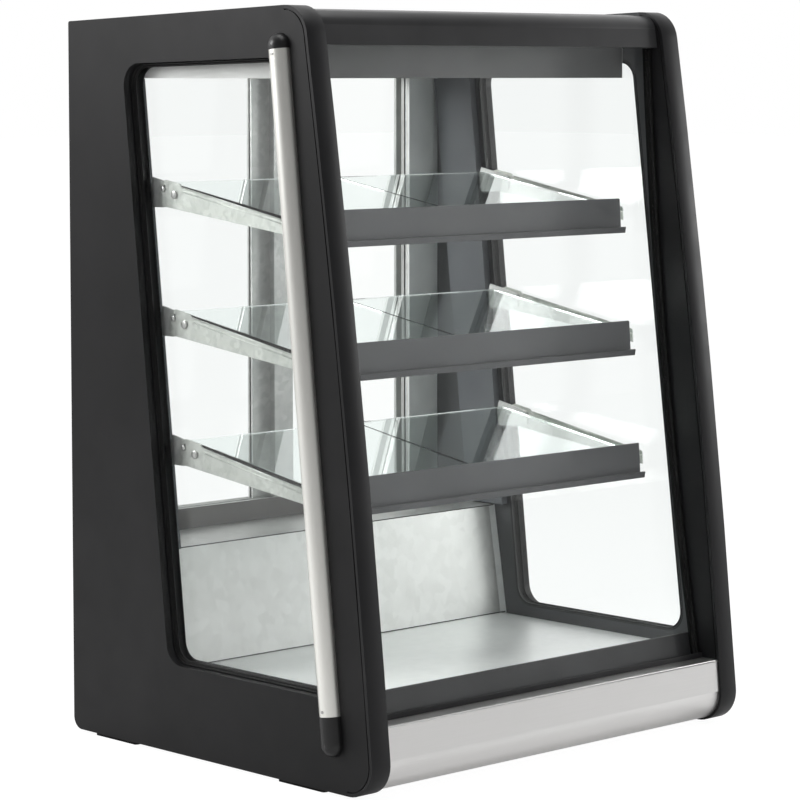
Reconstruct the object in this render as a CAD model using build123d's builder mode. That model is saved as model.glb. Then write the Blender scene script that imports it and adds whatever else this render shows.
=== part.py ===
"""Countertop refrigerated pastry case: two shaped side panels carry a dished front pane, a
ceiling, three tilting glass shelves and two sliding rear doors over a low machine base.

Millimetres. +X to the viewer's right, -Y towards the viewer, +Z up, resting on Z = 0. The
pieces are drawn with Y = 0 at the panels' rear edges, and each is then moved half the case's
depth back, so that the origin lies at the middle of the footprint."""
import math
import os

from build123d import *

os.makedirs("parts", exist_ok=True)

# Case width and the side outline
CASE_W = 660.0
PANEL_T = 30.0
FOOT_SHOW = 4.0
REAR_HEIGHT = 926.0
TOP_RISE = 15.5
FRONT_FOOT = 576.0
FRONT_MID = 525.0
FRONT_HEAD = 454.6
FRONT_MID_DROP = 8.75
CORNER_R = 40.0
REAR_FOOT_R = 16.0
REAR_HEAD_R = 3.0

# Edge band round the front of each side panel
BAND_T = 4.6
SEAM_W = 1.4
SEAM_DEPTH = 2.0
BAND_HEAD = 414.0
BAND_FOOT = 534.0

# Side windows
WIN_TOP_REAR = (-110.5, REAR_HEIGHT - 55.0)
WIN_TOP_FRONT = (-409.5, REAR_HEIGHT - 47.5)
WIN_LOW_FRONT = (-506.5, 116.0)
WIN_LOW_REAR = (-195.0, 116.0)
WIN_R = 28.0
GASKET_W = 8.0
GASKET_T = 16.0
PANE_T = 4.0
PANE_GAP = 6.0
PANE_IN_GASKET = 5.0

# Half-round bars over the window edges
BAR_R = 15.0
BAR_TOP = (-414.0, REAR_HEIGHT - 38.0)
BAR_LOW = (-502.0, 97.0)
CAP_TOP_RUN = 4.0
CAP_LOW_RUN = 34.0
CAP_PROUD = 0.5
BAR_SCREW_R = 2.0
BAR_SCREW_IN = 6.0
BAR_SCREW_PROUD = 0.6

# Clearances
SEAT = 0.2
RUN = 0.3
PIN_FIT = 0.05

# Roof, rail and ceiling
ROOF_T = 14.0
ROOF_DROP = 4.0
RAIL_FACE_FOOT = (-452.0, REAR_HEIGHT - 33.0)
RAIL_FACE_HEAD = (-446.0, REAR_HEIGHT + 7.0)
RAIL_BACK = -404.0
RAIL_R = 20.0
RAIL_T = 3.0
RAIL_SOLE = 14.0
RAIL_LIP = 1.0
CEILING_FRONT = -388.0
CEILING_Z = REAR_HEIGHT - 73.0
CEILING_T = 1.5
LAMP_R = 7.0
LAMP_Y = -404.0
LAMP_Z = REAR_HEIGHT - 21.0
LAMP_END = 14.0
LENS_T = 2.0

# Front pane, its seals, sill and trim
GLASS_HEAD = (-441.8, REAR_HEIGHT - 34.0)
GLASS_FOOT = (-534.7, 92.0)
GLASS_MID = (-475.5, (GLASS_HEAD[1] + GLASS_FOOT[1]) / 2 - 3.0)
GLASS_T = 6.0
SEAL_W = 4.0
SEAL_LAP = 5.0
SILL_TOP = 120.0
SILL_LOW = 84.0
SILL_WALL = 4.0
SILL_LEAN = 6.5
SILL_LIP_IN = 2.0
SILL_LIP_OUT = 4.0
TRIM_INSET = 3.0
TRIM_T = 2.0
TRIM_TOP = 89.0
TRIM_UNDER = -515.0
TRIM_HEM = 8.0

# Floor, back wall and base
SHEET = 2.0
FLOOR_Z = 103.0
FLOOR_BACK = -174.0
LINER_GAP = 12.0
LEDGE_FRONT = -150.0
LEDGE_Z = 253.0
TRAY_Z = 8.0
TRAY_EDGE = 18.0
TRAY_SETBACK = 60.0
TRAY_REAR_GAP = 4.4
FOAM_T = 26.0
FOAM_GAP = 1.0
CHEEK_T = 10.0
CHEEK_SETBACK = 16.0

# Rear frame and sliding doors
FRAME_FRONT = -34.0
FRAME_BACK = -2.0
JAMB_W = 56.0
OPEN_LOW = 281.0
OPEN_TOP = REAR_HEIGHT - 70.0
FRAME_DROP = 4.0
STILE_W = 33.0
DOOR_EDGE_W = 20.0
DOOR_T = 10.0
DOOR_LAP = 2.0
DOOR_IN_FRAME = 20.0
GLASS_IN_DOOR = 6.0
TRACK_GAP = 3.0
DOOR_GLASS_T = 4.0
GLIDE_L = 24.0
GLIDE_H = 5.0
GLIDE_THIN = 3.0
PULL_L = 120.0
PULL_W = 14.0
PULL_DEPTH = 5.0

# Shelves
SHELF_TILT = 9.5
SHELF_PITCH = 163.0
SHELF_STEP = 18.7
PIVOT_TOP = (-175.5, REAR_HEIGHT - 219.0)
SHELF_COUNT = 3
SHELF_GLASS_T = 5.0
SHELF_BACK = -30.6
SHELF_FRONT = 218.0
SHELF_GLASS_N = 5.0
PANE_IN_ARM = 15.0
PANE_SEAM = 1.5
ARM_T = 1.5
ARM_SIDE_GAP = 4.0
ARM_FLANGE = 22.0
ARM_TAIL = 31.0
ARM_LOW = 19.5
ARM_TAIL_TOP = 9.5
ARM_SHOULDER = 15.0
ARM_SHOULDER_RUN = (-21.0, 8.0)
ARM_STEP = (12.0, 11.5)
ARM_TIP_TOP = 9.0
ARM_TIP_LOW = 7.0
FLANGE_START = 14.0
HOOK_T = 2.2
HOOK_ROOT = 1.5
HOOK_SHOULDER = 4.5
HOOK_UP = 21.0
HOOK_WAIST = 17.0
HOOK_WAIST_RUN = 26.0
HOOK_NOSE = 7.0
HOOK_NOSE_TOP = 9.0
HOOK_NOSE_LOW = 12.0
TAB_H = 22.0
TAB_IN = 8.0
TAB_SLOT = 12.0
RAIL_SIDE_GAP = 9.0
RAIL_FLANGE = 14.0
RAIL_FLANGE_GAP = 22.0
LIP_T = 2.0
LIP_UP = 21.5
LIP_DOWN = 19.5
LIP_LEAN = 10.0
LIP_LEDGE = 6.0
LIP_HOOK = 6.0
PIVOT_R = 3.0
PIVOT_HEAD_R = 5.2
STOP_R = 2.0
STOP_HEAD_R = 3.6
STOP_U = -22.5
STOP_N = 3.0
SLOT_SLACK = 0.6
RIVET_HEAD = 1.8

# Slanting uprights behind the windows
UPRIGHT_LEAN = 0.112
UPRIGHT_FRONT = 106.5
UPRIGHT_W = 70.0
UPRIGHT_T = 11.0
UPRIGHT_WALL = 1.5
UPRIGHT_LOW = 256.0

# Machine space
COMP_R = 50.0
COMP_H = 128.0
COMP_DOME = 26.0
COMP_SIDE_GAP = 130.0
COMP_Y = -76.0
COMP_PLATE_T = 2.0
COMP_PLATE_LIFT = 10.0
COMP_PLATE_EDGE = 20.0
COMP_FOOT_R = 6.0
COMP_FOOT_H = 15.0
COMP_FOOT_OUT = 12.0
COMP_FOOT_IN = 9.0
TERMINAL_W = 24.0
TERMINAL_D = 44.0
TERMINAL_H = 48.0
TERMINAL_LIFT = 40.0
TERMINAL_SINK = 4.0
COIL_SIDE_GAP = 50.0
COIL_DEPTH = 44.0
COIL_H = 190.0
COIL_W = 118.0
COIL_TUBES = 6
COIL_TUBE_LOW = 20.0
COIL_TUBE_STEP = 30.0
COIL_TUBE_SHIFT = 10.0
TUBE_PROUD = 2.0
FIN_T = 0.8
FIN_COUNT = 22
TUBE_R = 4.0
FAN_R = 52.0
FAN_HUB_R = 15.0
FAN_HUB_L = 18.0
FAN_BLADES = 5
FAN_PITCH = 28.0
BLADE_T = 1.6
BLADE_SINK = 2.0
SHAFT_R = 2.5
FAN_Z = 110.0
FAN_AHEAD = 16.0
SHROUD_T = 2.0
SHROUD_GAP = 3.0
SHROUD_DEPTH = 24.0
MOTOR_R = 26.0
MOTOR_L = 34.0
MOTOR_GAP = 1.0
BRACKET_T = 24.0
BRACKET_W = 36.0
BRACKET_TOP_GAP = 10.0
BRACKET_BACK = 18.0
EVAP_FAN_R = 36.0
EVAP_HUB_R = 12.0
EVAP_HUB_L = 14.0
EVAP_FAN_X = 140.0
EVAP_FAN_Y = -430.0
EVAP_FAN_LIFT = 34.0
EVAP_MOTOR_R = 18.0
EVAP_MOTOR_H = 24.0
EVAP_W = 400.0
EVAP_D = 110.0
EVAP_H = 44.0
EVAP_Y = -285.0
EVAP_TUBES = 4
EVAP_TUBE_STEP = 24.0
EVAP_TUBE_PROUD = 6.0
EVAP_TUBE_LOW = 14.0
EVAP_TUBE_HIGH = 30.0
LINE_R = 3.2
LINE_BEND = 12.0
LINE_BACK = 12.0
LINE_ASIDE = 10.0
LINE_DROP = 26.0
FEET_Y = (-82.0, -441.0)
FOOT_L = 84.0
FOOT_W = 22.0
FOOT_R = 4.0

# Rear panel and its controls
LOUVRE_X = 185.0
LOUVRE_Z = 95.0
LOUVRE_L = 150.0
LOUVRE_W = 6.0
LOUVRE_STEP = 14.0
LOUVRE_COUNT = 9
CTRL_X = -120.0
CTRL_Z = 214.0
CTRL_W = 92.0
CTRL_H = 38.0
CTRL_D = 40.0
BEZEL_LAP = 4.0
BEZEL_T = 1.8
DISPLAY_X = -16.0
DISPLAY_W = 40.0
DISPLAY_H = 22.0
DISPLAY_DEEP = 3.0
DISPLAY_SUNK = 0.6
BUTTON_R = 4.5
BUTTON_DEEP = 8.0
BUTTON_PLACES = (18.0, 31.0)
BUTTON_TRAVEL = 1.5
SWITCH_X = -20.0
SWITCH_W = 20.0
SWITCH_H = 14.0
SWITCH_D = 22.0
SWITCH_WALL = 2.0
SWITCH_FLANGE = 4.0
SWITCH_FLANGE_T = 1.2
SWITCH_WELL = 14.0
SWITCH_TILT = 8.0
ROCKER_Y = -5.0
ROCKER_PIN_R = 1.2
ROCKER_HALF = 8.6
ROCKER_TIP = 3.5
ROCKER_EDGE = 1.6
ROCKER_DISH = 1.4
ROCKER_KEEL = 4.0
INLET_X = 60.0
INLET_W = 30.0
INLET_H = 24.0
INLET_D = 24.0
INLET_FLANGE = (7.0, 3.0)
INLET_FLANGE_T = 1.6
INLET_WALL = (3.0, 3.5)
INLET_DEEP = 20.0
BLADE_SIZE = (2.0, 4.0)
BLADE_L = 16.0
BLADE_PLACES = ((-7.0, -1.0), (0.0, 3.0), (7.0, -1.0))

X_IN = CASE_W / 2 - PANEL_T
LINER_X = X_IN - LINER_GAP
OPEN_X = X_IN - JAMB_W
ARM_OUT = X_IN - ARM_SIDE_GAP
SHELF_HALF = ARM_OUT - PANE_IN_ARM
RAIL_HALF = ARM_OUT - RAIL_SIDE_GAP
COMP_X = X_IN - COMP_SIDE_GAP
COIL_X = -X_IN + COIL_SIDE_GAP
PANEL_LOW = FOOT_SHOW
PANEL_HEAD = REAR_HEIGHT + TOP_RISE
MID_Z = (PANEL_LOW + PANEL_HEAD) / 2 - FRONT_MID_DROP
SPAN = 2 * (X_IN - SEAT)


def save(builder, label):
    """Moves one finished piece to the middle of the footprint, labels it and writes it."""
    placed = builder.part.moved(Location((0, CASE_DEPTH / 2, 0)))
    placed.label = label
    export_step(placed, f"parts/{label}.step")


def side_outline():
    """The side panel's outline, drawn with Y across and Z up."""
    with BuildSketch() as outline:
        with BuildLine():
            Line((0, REAR_HEIGHT), (-FRONT_HEAD, PANEL_HEAD))
            ThreePointArc((-FRONT_HEAD, PANEL_HEAD), (-FRONT_MID, MID_Z), (-FRONT_FOOT, PANEL_LOW))
            Line((-FRONT_FOOT, PANEL_LOW), (0, PANEL_LOW))
            Line((0, PANEL_LOW), (0, REAR_HEIGHT))
        make_face()
        for corner, radius in (
            ((-FRONT_HEAD, PANEL_HEAD), CORNER_R),
            ((-FRONT_FOOT, PANEL_LOW), CORNER_R),
            ((0, PANEL_LOW), REAR_FOOT_R),
            ((0, REAR_HEIGHT), REAR_HEAD_R),
        ):
            fillet(outline.vertices().sort_by_distance((*corner, 0))[0], radius)
    return outline.sketch


CASE_DEPTH = -side_outline().bounding_box().min.X


def inset_outline(amount):
    """The side outline drawn in by an amount all round."""
    with BuildSketch() as inner:
        add(side_outline())
        offset(amount=-amount, mode=Mode.REPLACE)
    return inner.sketch


def front_strip(outer, inner):
    """The strip between two insets of the outline, kept only round the front edge."""
    with BuildSketch() as strip:
        add(inset_outline(outer) if outer else side_outline())
        add(inset_outline(inner), mode=Mode.SUBTRACT)
        with BuildLine():
            Polyline(
                (-BAND_HEAD, PANEL_HEAD + CORNER_R),
                (-BAND_FOOT, PANEL_LOW - CORNER_R),
                (-FRONT_FOOT - CORNER_R, PANEL_LOW - CORNER_R),
                (-FRONT_FOOT - CORNER_R, PANEL_HEAD + CORNER_R),
                close=True,
            )
        make_face(mode=Mode.INTERSECT)
    return strip.sketch


def window_outline(inset=0.0):
    """The side window's opening, drawn in by an amount."""
    with BuildSketch() as opening:
        with BuildLine():
            Polyline(WIN_TOP_REAR, WIN_TOP_FRONT, WIN_LOW_FRONT, WIN_LOW_REAR, close=True)
        make_face()
        fillet(opening.vertices(), WIN_R)
        if inset:
            offset(amount=-inset, mode=Mode.REPLACE)
    return opening.sketch


def at_x(x):
    """The plane square to the case's width at X."""
    return Plane.YZ.offset(x)


PANEL_START = {"left": -CASE_W / 2, "right": X_IN}
OUTER_X = {"left": -CASE_W / 2, "right": CASE_W / 2}
SIDE_SIGN = {"left": -1, "right": 1}

# Side panels with their windows and seams
for side, start in PANEL_START.items():
    with BuildPart() as side_panel:
        with BuildSketch(at_x(start)):
            add(side_outline())
            add(front_strip(0, BAND_T), mode=Mode.SUBTRACT)
            add(window_outline(), mode=Mode.SUBTRACT)
        extrude(amount=PANEL_T)
        for groove_x in (start, start + PANEL_T - SEAM_DEPTH):
            with BuildSketch(at_x(groove_x)):
                add(front_strip(BAND_T, BAND_T + SEAM_W))
            extrude(amount=SEAM_DEPTH, mode=Mode.SUBTRACT)
    save(side_panel, f"{side}_side_panel")


with BuildPart() as edge_bands:
    for start in PANEL_START.values():
        with BuildSketch(at_x(start)):
            add(front_strip(0, BAND_T))
        extrude(amount=PANEL_T)
save(edge_bands, "edge_bands")

# Double panes and the gaskets that hold them, flush with the inner faces
PANE_X = (X_IN, X_IN + PANE_T + PANE_GAP)
with BuildPart() as side_window_panes:
    for sign in (-1, 1):
        for pane_x in PANE_X:
            with BuildSketch(at_x(pane_x if sign > 0 else -pane_x - PANE_T)):
                add(window_outline(GASKET_W - PANE_IN_GASKET))
            extrude(amount=PANE_T)
save(side_window_panes, "side_window_panes")

with BuildPart() as side_window_gaskets:
    for sign in (-1, 1):
        with BuildSketch(at_x(X_IN if sign > 0 else -X_IN - GASKET_T)):
            add(window_outline())
            add(window_outline(GASKET_W), mode=Mode.SUBTRACT)
        extrude(amount=GASKET_T)
    add(side_window_panes.part, mode=Mode.SUBTRACT)
save(side_window_gaskets, "side_window_gaskets")

# Half-round bars, their end caps and screws
BAR_RUN = math.dist(BAR_TOP, BAR_LOW)
BAR_DIR = Vector(0, (BAR_TOP[0] - BAR_LOW[0]) / BAR_RUN, (BAR_TOP[1] - BAR_LOW[1]) / BAR_RUN)


def bar_plane(side, along):
    """A plane square to a bar: local X runs out of the panel, local Y along its face."""
    foot = Vector(OUTER_X[side], *BAR_LOW) + BAR_DIR * along
    return Plane(origin=foot, x_dir=(SIDE_SIGN[side], 0, 0), z_dir=BAR_DIR)


def half_round(radius):
    """Half a disc standing on the panel's face."""
    with BuildSketch() as half:
        Circle(radius)
        with Locations((-radius, 0)):
            Rectangle(2 * radius, 2 * radius, mode=Mode.SUBTRACT)
    return half.sketch


with BuildPart() as bar_screws:
    for side in PANEL_START:
        for along in (BAR_SCREW_IN, BAR_RUN - BAR_SCREW_IN):
            face = bar_plane(side, along)
            with BuildSketch(Plane(origin=face.origin, z_dir=face.x_dir)):
                Circle(BAR_SCREW_R)
            extrude(amount=BAR_R + BAR_SCREW_PROUD)
save(bar_screws, "trim_bar_screws")

with BuildPart() as trim_bars:
    for side in PANEL_START:
        with BuildSketch(bar_plane(side, 0)):
            add(half_round(BAR_R))
        extrude(amount=BAR_RUN)
    add(bar_screws.part, mode=Mode.SUBTRACT)
save(trim_bars, "trim_bars")

with BuildPart() as trim_bar_caps:
    for side in PANEL_START:
        for start, run in ((BAR_RUN, CAP_TOP_RUN), (0, -CAP_LOW_RUN)):
            cap_r = BAR_R + CAP_PROUD
            with BuildSketch(bar_plane(side, start)):
                add(half_round(cap_r))
            extrude(amount=run)
            with BuildSketch(bar_plane(side, start + run)) as dome:
                with BuildLine():
                    Line((0, 0), (cap_r, 0))
                    CenterArc((0, 0), cap_r, 0, 90)
                    Line((0, cap_r), (0, 0))
                make_face()
            revolve(
                axis=Axis(bar_plane(side, start + run).origin, bar_plane(side, 0).x_dir),
                revolution_arc=math.copysign(180, run),
            )
save(trim_bar_caps, "trim_bar_caps")


def top_z(y):
    """Height of the side panels' top line at Y."""
    return REAR_HEIGHT - TOP_RISE * y / FRONT_HEAD


# Roof panel and the front rail that closes it
with BuildPart() as roof_panel:
    with BuildSketch(at_x(-SPAN / 2)):
        with BuildLine():
            Polyline(
                (FRAME_BACK, top_z(FRAME_BACK) - ROOF_DROP),
                (RAIL_BACK, top_z(RAIL_BACK) - ROOF_DROP),
                (RAIL_BACK, top_z(RAIL_BACK) - ROOF_DROP - ROOF_T),
                (FRAME_BACK, top_z(FRAME_BACK) - ROOF_DROP - ROOF_T),
                close=True,
            )
        make_face()
    extrude(amount=SPAN)
save(roof_panel, "roof_panel")

with BuildPart() as top_rail:
    with BuildSketch(at_x(-SPAN / 2)) as rail_section:
        with BuildLine():
            Polyline(
                RAIL_FACE_FOOT,
                RAIL_FACE_HEAD,
                (RAIL_BACK - SEAT, top_z(RAIL_BACK) - ROOF_DROP + RAIL_LIP),
                (RAIL_BACK - SEAT, top_z(RAIL_BACK) - ROOF_DROP - ROOF_T),
                (RAIL_FACE_FOOT[0] + RAIL_SOLE, RAIL_FACE_FOOT[1]),
                close=True,
            )
        make_face()
        fillet(rail_section.vertices().sort_by_distance((*RAIL_FACE_HEAD, 0))[0], RAIL_R)
        offset(amount=-RAIL_T, mode=Mode.SUBTRACT)
    extrude(amount=SPAN)
save(top_rail, "top_rail")

# Ceiling housing: an open-topped tray hung below the roof, with the lamp ahead of it
CEILING_TOP = top_z(FRAME_FRONT) - ROOF_DROP - ROOF_T - SEAT
with BuildPart() as ceiling_housing:
    ceiling_depth = FRAME_FRONT - SEAT - CEILING_FRONT
    with BuildSketch(Plane.XY.offset(CEILING_Z)):
        with Locations((0, CEILING_FRONT + ceiling_depth / 2)):
            Rectangle(SPAN, ceiling_depth)
    extrude(amount=CEILING_TOP - CEILING_Z)
    with BuildSketch(Plane.XY.offset(CEILING_Z + CEILING_T)):
        with Locations((0, CEILING_FRONT + ceiling_depth / 2)):
            Rectangle(SPAN - 2 * CEILING_T, ceiling_depth - 2 * CEILING_T)
    extrude(amount=CEILING_TOP - CEILING_Z, mode=Mode.SUBTRACT)
save(ceiling_housing, "ceiling_housing")

with BuildPart() as lamp_tube:
    with BuildSketch(at_x(-SPAN / 2 + LAMP_END)):
        with Locations((LAMP_Y, LAMP_Z)):
            Circle(LAMP_R)
    extrude(amount=SPAN - 2 * LAMP_END)
save(lamp_tube, "lamp_tube")

with BuildPart() as lamp_lens:
    with BuildSketch(at_x(-SPAN / 2)):
        with Locations((LAMP_Y, LAMP_Z)):
            Circle(LAMP_R + RUN + LENS_T)
            Circle(LAMP_R + RUN, mode=Mode.SUBTRACT)
    extrude(amount=SPAN)
save(lamp_lens, "lamp_lens")


def front_layer(ahead, behind):
    """The front pane's curved section between two depths behind its outer face."""
    with BuildSketch() as layer:
        with BuildLine():
            ThreePointArc(
                (GLASS_HEAD[0] + ahead, GLASS_HEAD[1]),
                (GLASS_MID[0] + ahead, GLASS_MID[1]),
                (GLASS_FOOT[0] + ahead, GLASS_FOOT[1]),
            )
            Line(
                (GLASS_FOOT[0] + ahead, GLASS_FOOT[1]),
                (GLASS_FOOT[0] + behind, GLASS_FOOT[1]),
            )
            ThreePointArc(
                (GLASS_FOOT[0] + behind, GLASS_FOOT[1]),
                (GLASS_MID[0] + behind, GLASS_MID[1]),
                (GLASS_HEAD[0] + behind, GLASS_HEAD[1]),
            )
            Line(
                (GLASS_HEAD[0] + behind, GLASS_HEAD[1]),
                (GLASS_HEAD[0] + ahead, GLASS_HEAD[1]),
            )
        make_face()
    return layer.sketch


PANE_HALF = X_IN - SEAL_W
with BuildPart() as front_glass:
    with BuildSketch(at_x(-PANE_HALF)):
        add(front_layer(0, GLASS_T))
    extrude(amount=2 * PANE_HALF)
save(front_glass, "front_glass")

# Rubber seals: an L section down each side of the pane, beside it and behind it
with BuildPart() as front_glass_seals:
    for start in (-X_IN + SEAT, PANE_HALF + SEAT):
        with BuildSketch(at_x(start)):
            add(front_layer(0, GLASS_T + RUN))
        extrude(amount=SEAL_W - 2 * SEAT)
    for start in (-X_IN + SEAT, PANE_HALF - SEAL_LAP):
        with BuildSketch(at_x(start)):
            add(front_layer(GLASS_T + RUN, GLASS_T + RUN + SEAL_W))
        extrude(amount=SEAL_W + SEAL_LAP - SEAT)
save(front_glass_seals, "front_glass_seals")

# Sill: a channel that the pane stands in
SEAL_BACK = GLASS_FOOT[0] + GLASS_T + RUN + SEAL_W
SILL_BACK = SEAL_BACK + SILL_LEAN + SILL_WALL
with BuildPart() as front_sill:
    with BuildSketch(at_x(-SPAN / 2)):
        with BuildLine():
            Polyline(
                (GLASS_FOOT[0] - SILL_WALL - RUN, GLASS_FOOT[1] + SILL_LIP_OUT),
                (GLASS_FOOT[0] - SILL_WALL - RUN, SILL_LOW),
                (SILL_BACK, SILL_LOW),
                (SILL_BACK, SILL_TOP),
                (SEAL_BACK + SILL_LEAN, SILL_TOP),
                (SEAL_BACK + RUN, GLASS_FOOT[1] - RUN),
                (GLASS_FOOT[0] - RUN, GLASS_FOOT[1] - RUN),
                (GLASS_FOOT[0] - RUN, GLASS_FOOT[1] + SILL_LIP_IN),
                close=True,
            )
        make_face()
    extrude(amount=SPAN)
save(front_sill, "front_sill")

# Bright trim below the pane, rolled under the base
with BuildPart() as front_trim:
    with BuildSketch(at_x(-SPAN / 2)) as trim_section:
        add(inset_outline(TRIM_INSET))
        add(inset_outline(TRIM_INSET + TRIM_T), mode=Mode.SUBTRACT)
        with BuildLine():
            Polyline(
                (-FRONT_FOOT, TRIM_TOP),
                (TRIM_UNDER, TRIM_TOP),
                (TRIM_UNDER, 0),
                (-FRONT_FOOT, 0),
                close=True,
            )
        make_face(mode=Mode.INTERSECT)
    extrude(amount=SPAN)
    with BuildSketch(at_x(-SPAN / 2)):
        with BuildLine():
            Polyline(
                (-FRONT_FOOT + TRIM_INSET + TRIM_T + TRIM_HEM, TRIM_TOP),
                (-FRONT_FOOT + TRIM_INSET + TRIM_T + TRIM_HEM / 2, TRIM_TOP - TRIM_T),
                (GLASS_FOOT[0] - SILL_WALL - RUN - SEAT, TRIM_TOP - TRIM_T),
                (GLASS_FOOT[0] - SILL_WALL - RUN - SEAT, TRIM_TOP),
                close=True,
            )
        make_face()
    extrude(amount=SPAN)
save(front_trim, "front_trim")

# Base tray with side and front flanges, and the foam slab on it
TRAY_FRONT = -FRONT_FOOT + TRIM_INSET + TRIM_T + TRAY_SETBACK
TRAY_DEPTH = -TRAY_FRONT - TRAY_REAR_GAP
TRAY_MID = TRAY_FRONT + TRAY_DEPTH / 2
CHEEK_FOOT = TRAY_Z + SHEET + TRAY_EDGE
with BuildPart() as base_tray:
    with BuildSketch(Plane.XY.offset(TRAY_Z)):
        with Locations((0, TRAY_MID)):
            Rectangle(SPAN, TRAY_DEPTH)
    extrude(amount=SHEET)
    for edge_x in (-SPAN / 2 + SHEET / 2, SPAN / 2 - SHEET / 2):
        with BuildSketch(Plane.XY.offset(TRAY_Z)):
            with Locations((edge_x, TRAY_MID)):
                Rectangle(SHEET, TRAY_DEPTH)
        extrude(amount=TRAY_EDGE)
save(base_tray, "base_tray")

with BuildPart() as insulation_foam:
    with BuildSketch(Plane.XY.offset(TRAY_Z + SHEET)):
        with Locations((0, (TRAY_FRONT + FLOOR_BACK) / 2)):
            Rectangle(SPAN - 2 * SHEET - 2 * SEAT, FLOOR_BACK - TRAY_FRONT - 2 * FOAM_GAP)
    extrude(amount=FOAM_T)
    with BuildSketch(Plane.XY.offset(CEILING_Z + CEILING_T)):
        with Locations((0, CEILING_FRONT + ceiling_depth / 2)):
            Rectangle(SPAN - 2 * CEILING_T - 2 * SEAT, ceiling_depth - 2 * CEILING_T - 2 * SEAT)
    extrude(amount=CEILING_TOP - CEILING_Z - CEILING_T)
save(insulation_foam, "insulation_foam")

# Inner floor, carried on side cheeks that also close the machine space's flanks
with BuildPart() as floor_deck:
    with BuildSketch(at_x(-LINER_X)):
        with BuildLine():
            Polyline(
                (FLOOR_BACK, FLOOR_Z),
                (SILL_BACK + SEAT, FLOOR_Z),
                (SILL_BACK + SEAT, FLOOR_Z - SHEET),
                (FLOOR_BACK, FLOOR_Z - SHEET),
                close=True,
            )
        make_face()
    extrude(amount=2 * LINER_X)
save(floor_deck, "floor_deck")

with BuildPart() as liner_cheeks:
    for start in (-X_IN + SEAT, X_IN - SEAT - CHEEK_T - SHEET):
        with BuildSketch(at_x(start)):
            with BuildLine():
                Polyline(
                    (FLOOR_BACK, FLOOR_Z - SHEET - SEAT),
                    (TRAY_FRONT + CHEEK_SETBACK, FLOOR_Z - SHEET - SEAT),
                    (TRAY_FRONT + CHEEK_SETBACK, CHEEK_FOOT),
                    (FLOOR_BACK, CHEEK_FOOT),
                    close=True,
                )
            make_face()
        extrude(amount=CHEEK_T + SHEET)
    for start in (-X_IN + SEAT, LINER_X + SEAT):
        with BuildSketch(at_x(start)):
            with BuildLine():
                Polyline(
                    (FLOOR_BACK, CHEEK_FOOT),
                    (FLOOR_BACK, FLOOR_Z + FOAM_GAP),
                    (LEDGE_FRONT, LEDGE_Z),
                    (FRAME_FRONT - SEAT, LEDGE_Z),
                    (FRAME_FRONT - SEAT, CHEEK_FOOT),
                    close=True,
                )
            make_face()
        extrude(amount=X_IN - LINER_X - 2 * SEAT)
    add(insulation_foam.part, mode=Mode.SUBTRACT)
save(liner_cheeks, "liner_cheeks")

# Leaning back wall folded into the ledge below the doors
with BuildPart() as lower_back_wall:
    with BuildSketch(at_x(-LINER_X)) as wall_section:
        with BuildLine():
            Polyline(
                (FLOOR_BACK, FLOOR_Z),
                (LEDGE_FRONT, LEDGE_Z),
                (FRAME_FRONT - SEAT, LEDGE_Z),
                (FRAME_FRONT - SEAT, LEDGE_Z - SHEET),
                (LEDGE_FRONT + SHEET, LEDGE_Z - SHEET),
                (FLOOR_BACK + SHEET, FLOOR_Z),
                (FLOOR_BACK + SHEET, FLOOR_Z - 2 * SHEET),
                (FLOOR_BACK, FLOOR_Z - 2 * SHEET),
                close=True,
            )
        make_face()
    extrude(amount=2 * LINER_X)
save(lower_back_wall, "lower_back_wall")

# Rear frame: a ring with two tracks above and below the doors
FRAME_LOW = LEDGE_Z - FRAME_DROP
FRAME_TOP = top_z(FRAME_BACK) - ROOF_DROP - ROOF_T - SEAT
DOOR_Y = {
    "right": FRAME_FRONT + (FRAME_BACK - FRAME_FRONT - 2 * DOOR_T - TRACK_GAP) / 2,
    "left": FRAME_BACK - (FRAME_BACK - FRAME_FRONT - 2 * DOOR_T - TRACK_GAP) / 2 - DOOR_T,
}
DOOR_LOW = OPEN_LOW - DOOR_IN_FRAME
DOOR_TOP = OPEN_TOP + DOOR_IN_FRAME
with BuildPart() as rear_frame:
    with BuildSketch(Plane.XZ.offset(-FRAME_BACK)):
        with Locations((0, (FRAME_LOW + FRAME_TOP) / 2)):
            Rectangle(SPAN, FRAME_TOP - FRAME_LOW)
        with Locations((0, (OPEN_LOW + OPEN_TOP) / 2)):
            Rectangle(2 * OPEN_X, OPEN_TOP - OPEN_LOW, mode=Mode.SUBTRACT)
    extrude(amount=FRAME_BACK - FRAME_FRONT)
    for door_y in DOOR_Y.values():
        with BuildSketch(Plane.XZ.offset(RUN - door_y)):
            with Locations((0, (DOOR_LOW + DOOR_TOP) / 2)):
                Rectangle(
                    2 * (OPEN_X + DOOR_IN_FRAME + RUN),
                    DOOR_TOP - DOOR_LOW + 2 * (GLIDE_H + RUN),
                )
        extrude(amount=-(DOOR_T + 2 * RUN), mode=Mode.SUBTRACT)
save(rear_frame, "rear_frame")

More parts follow.
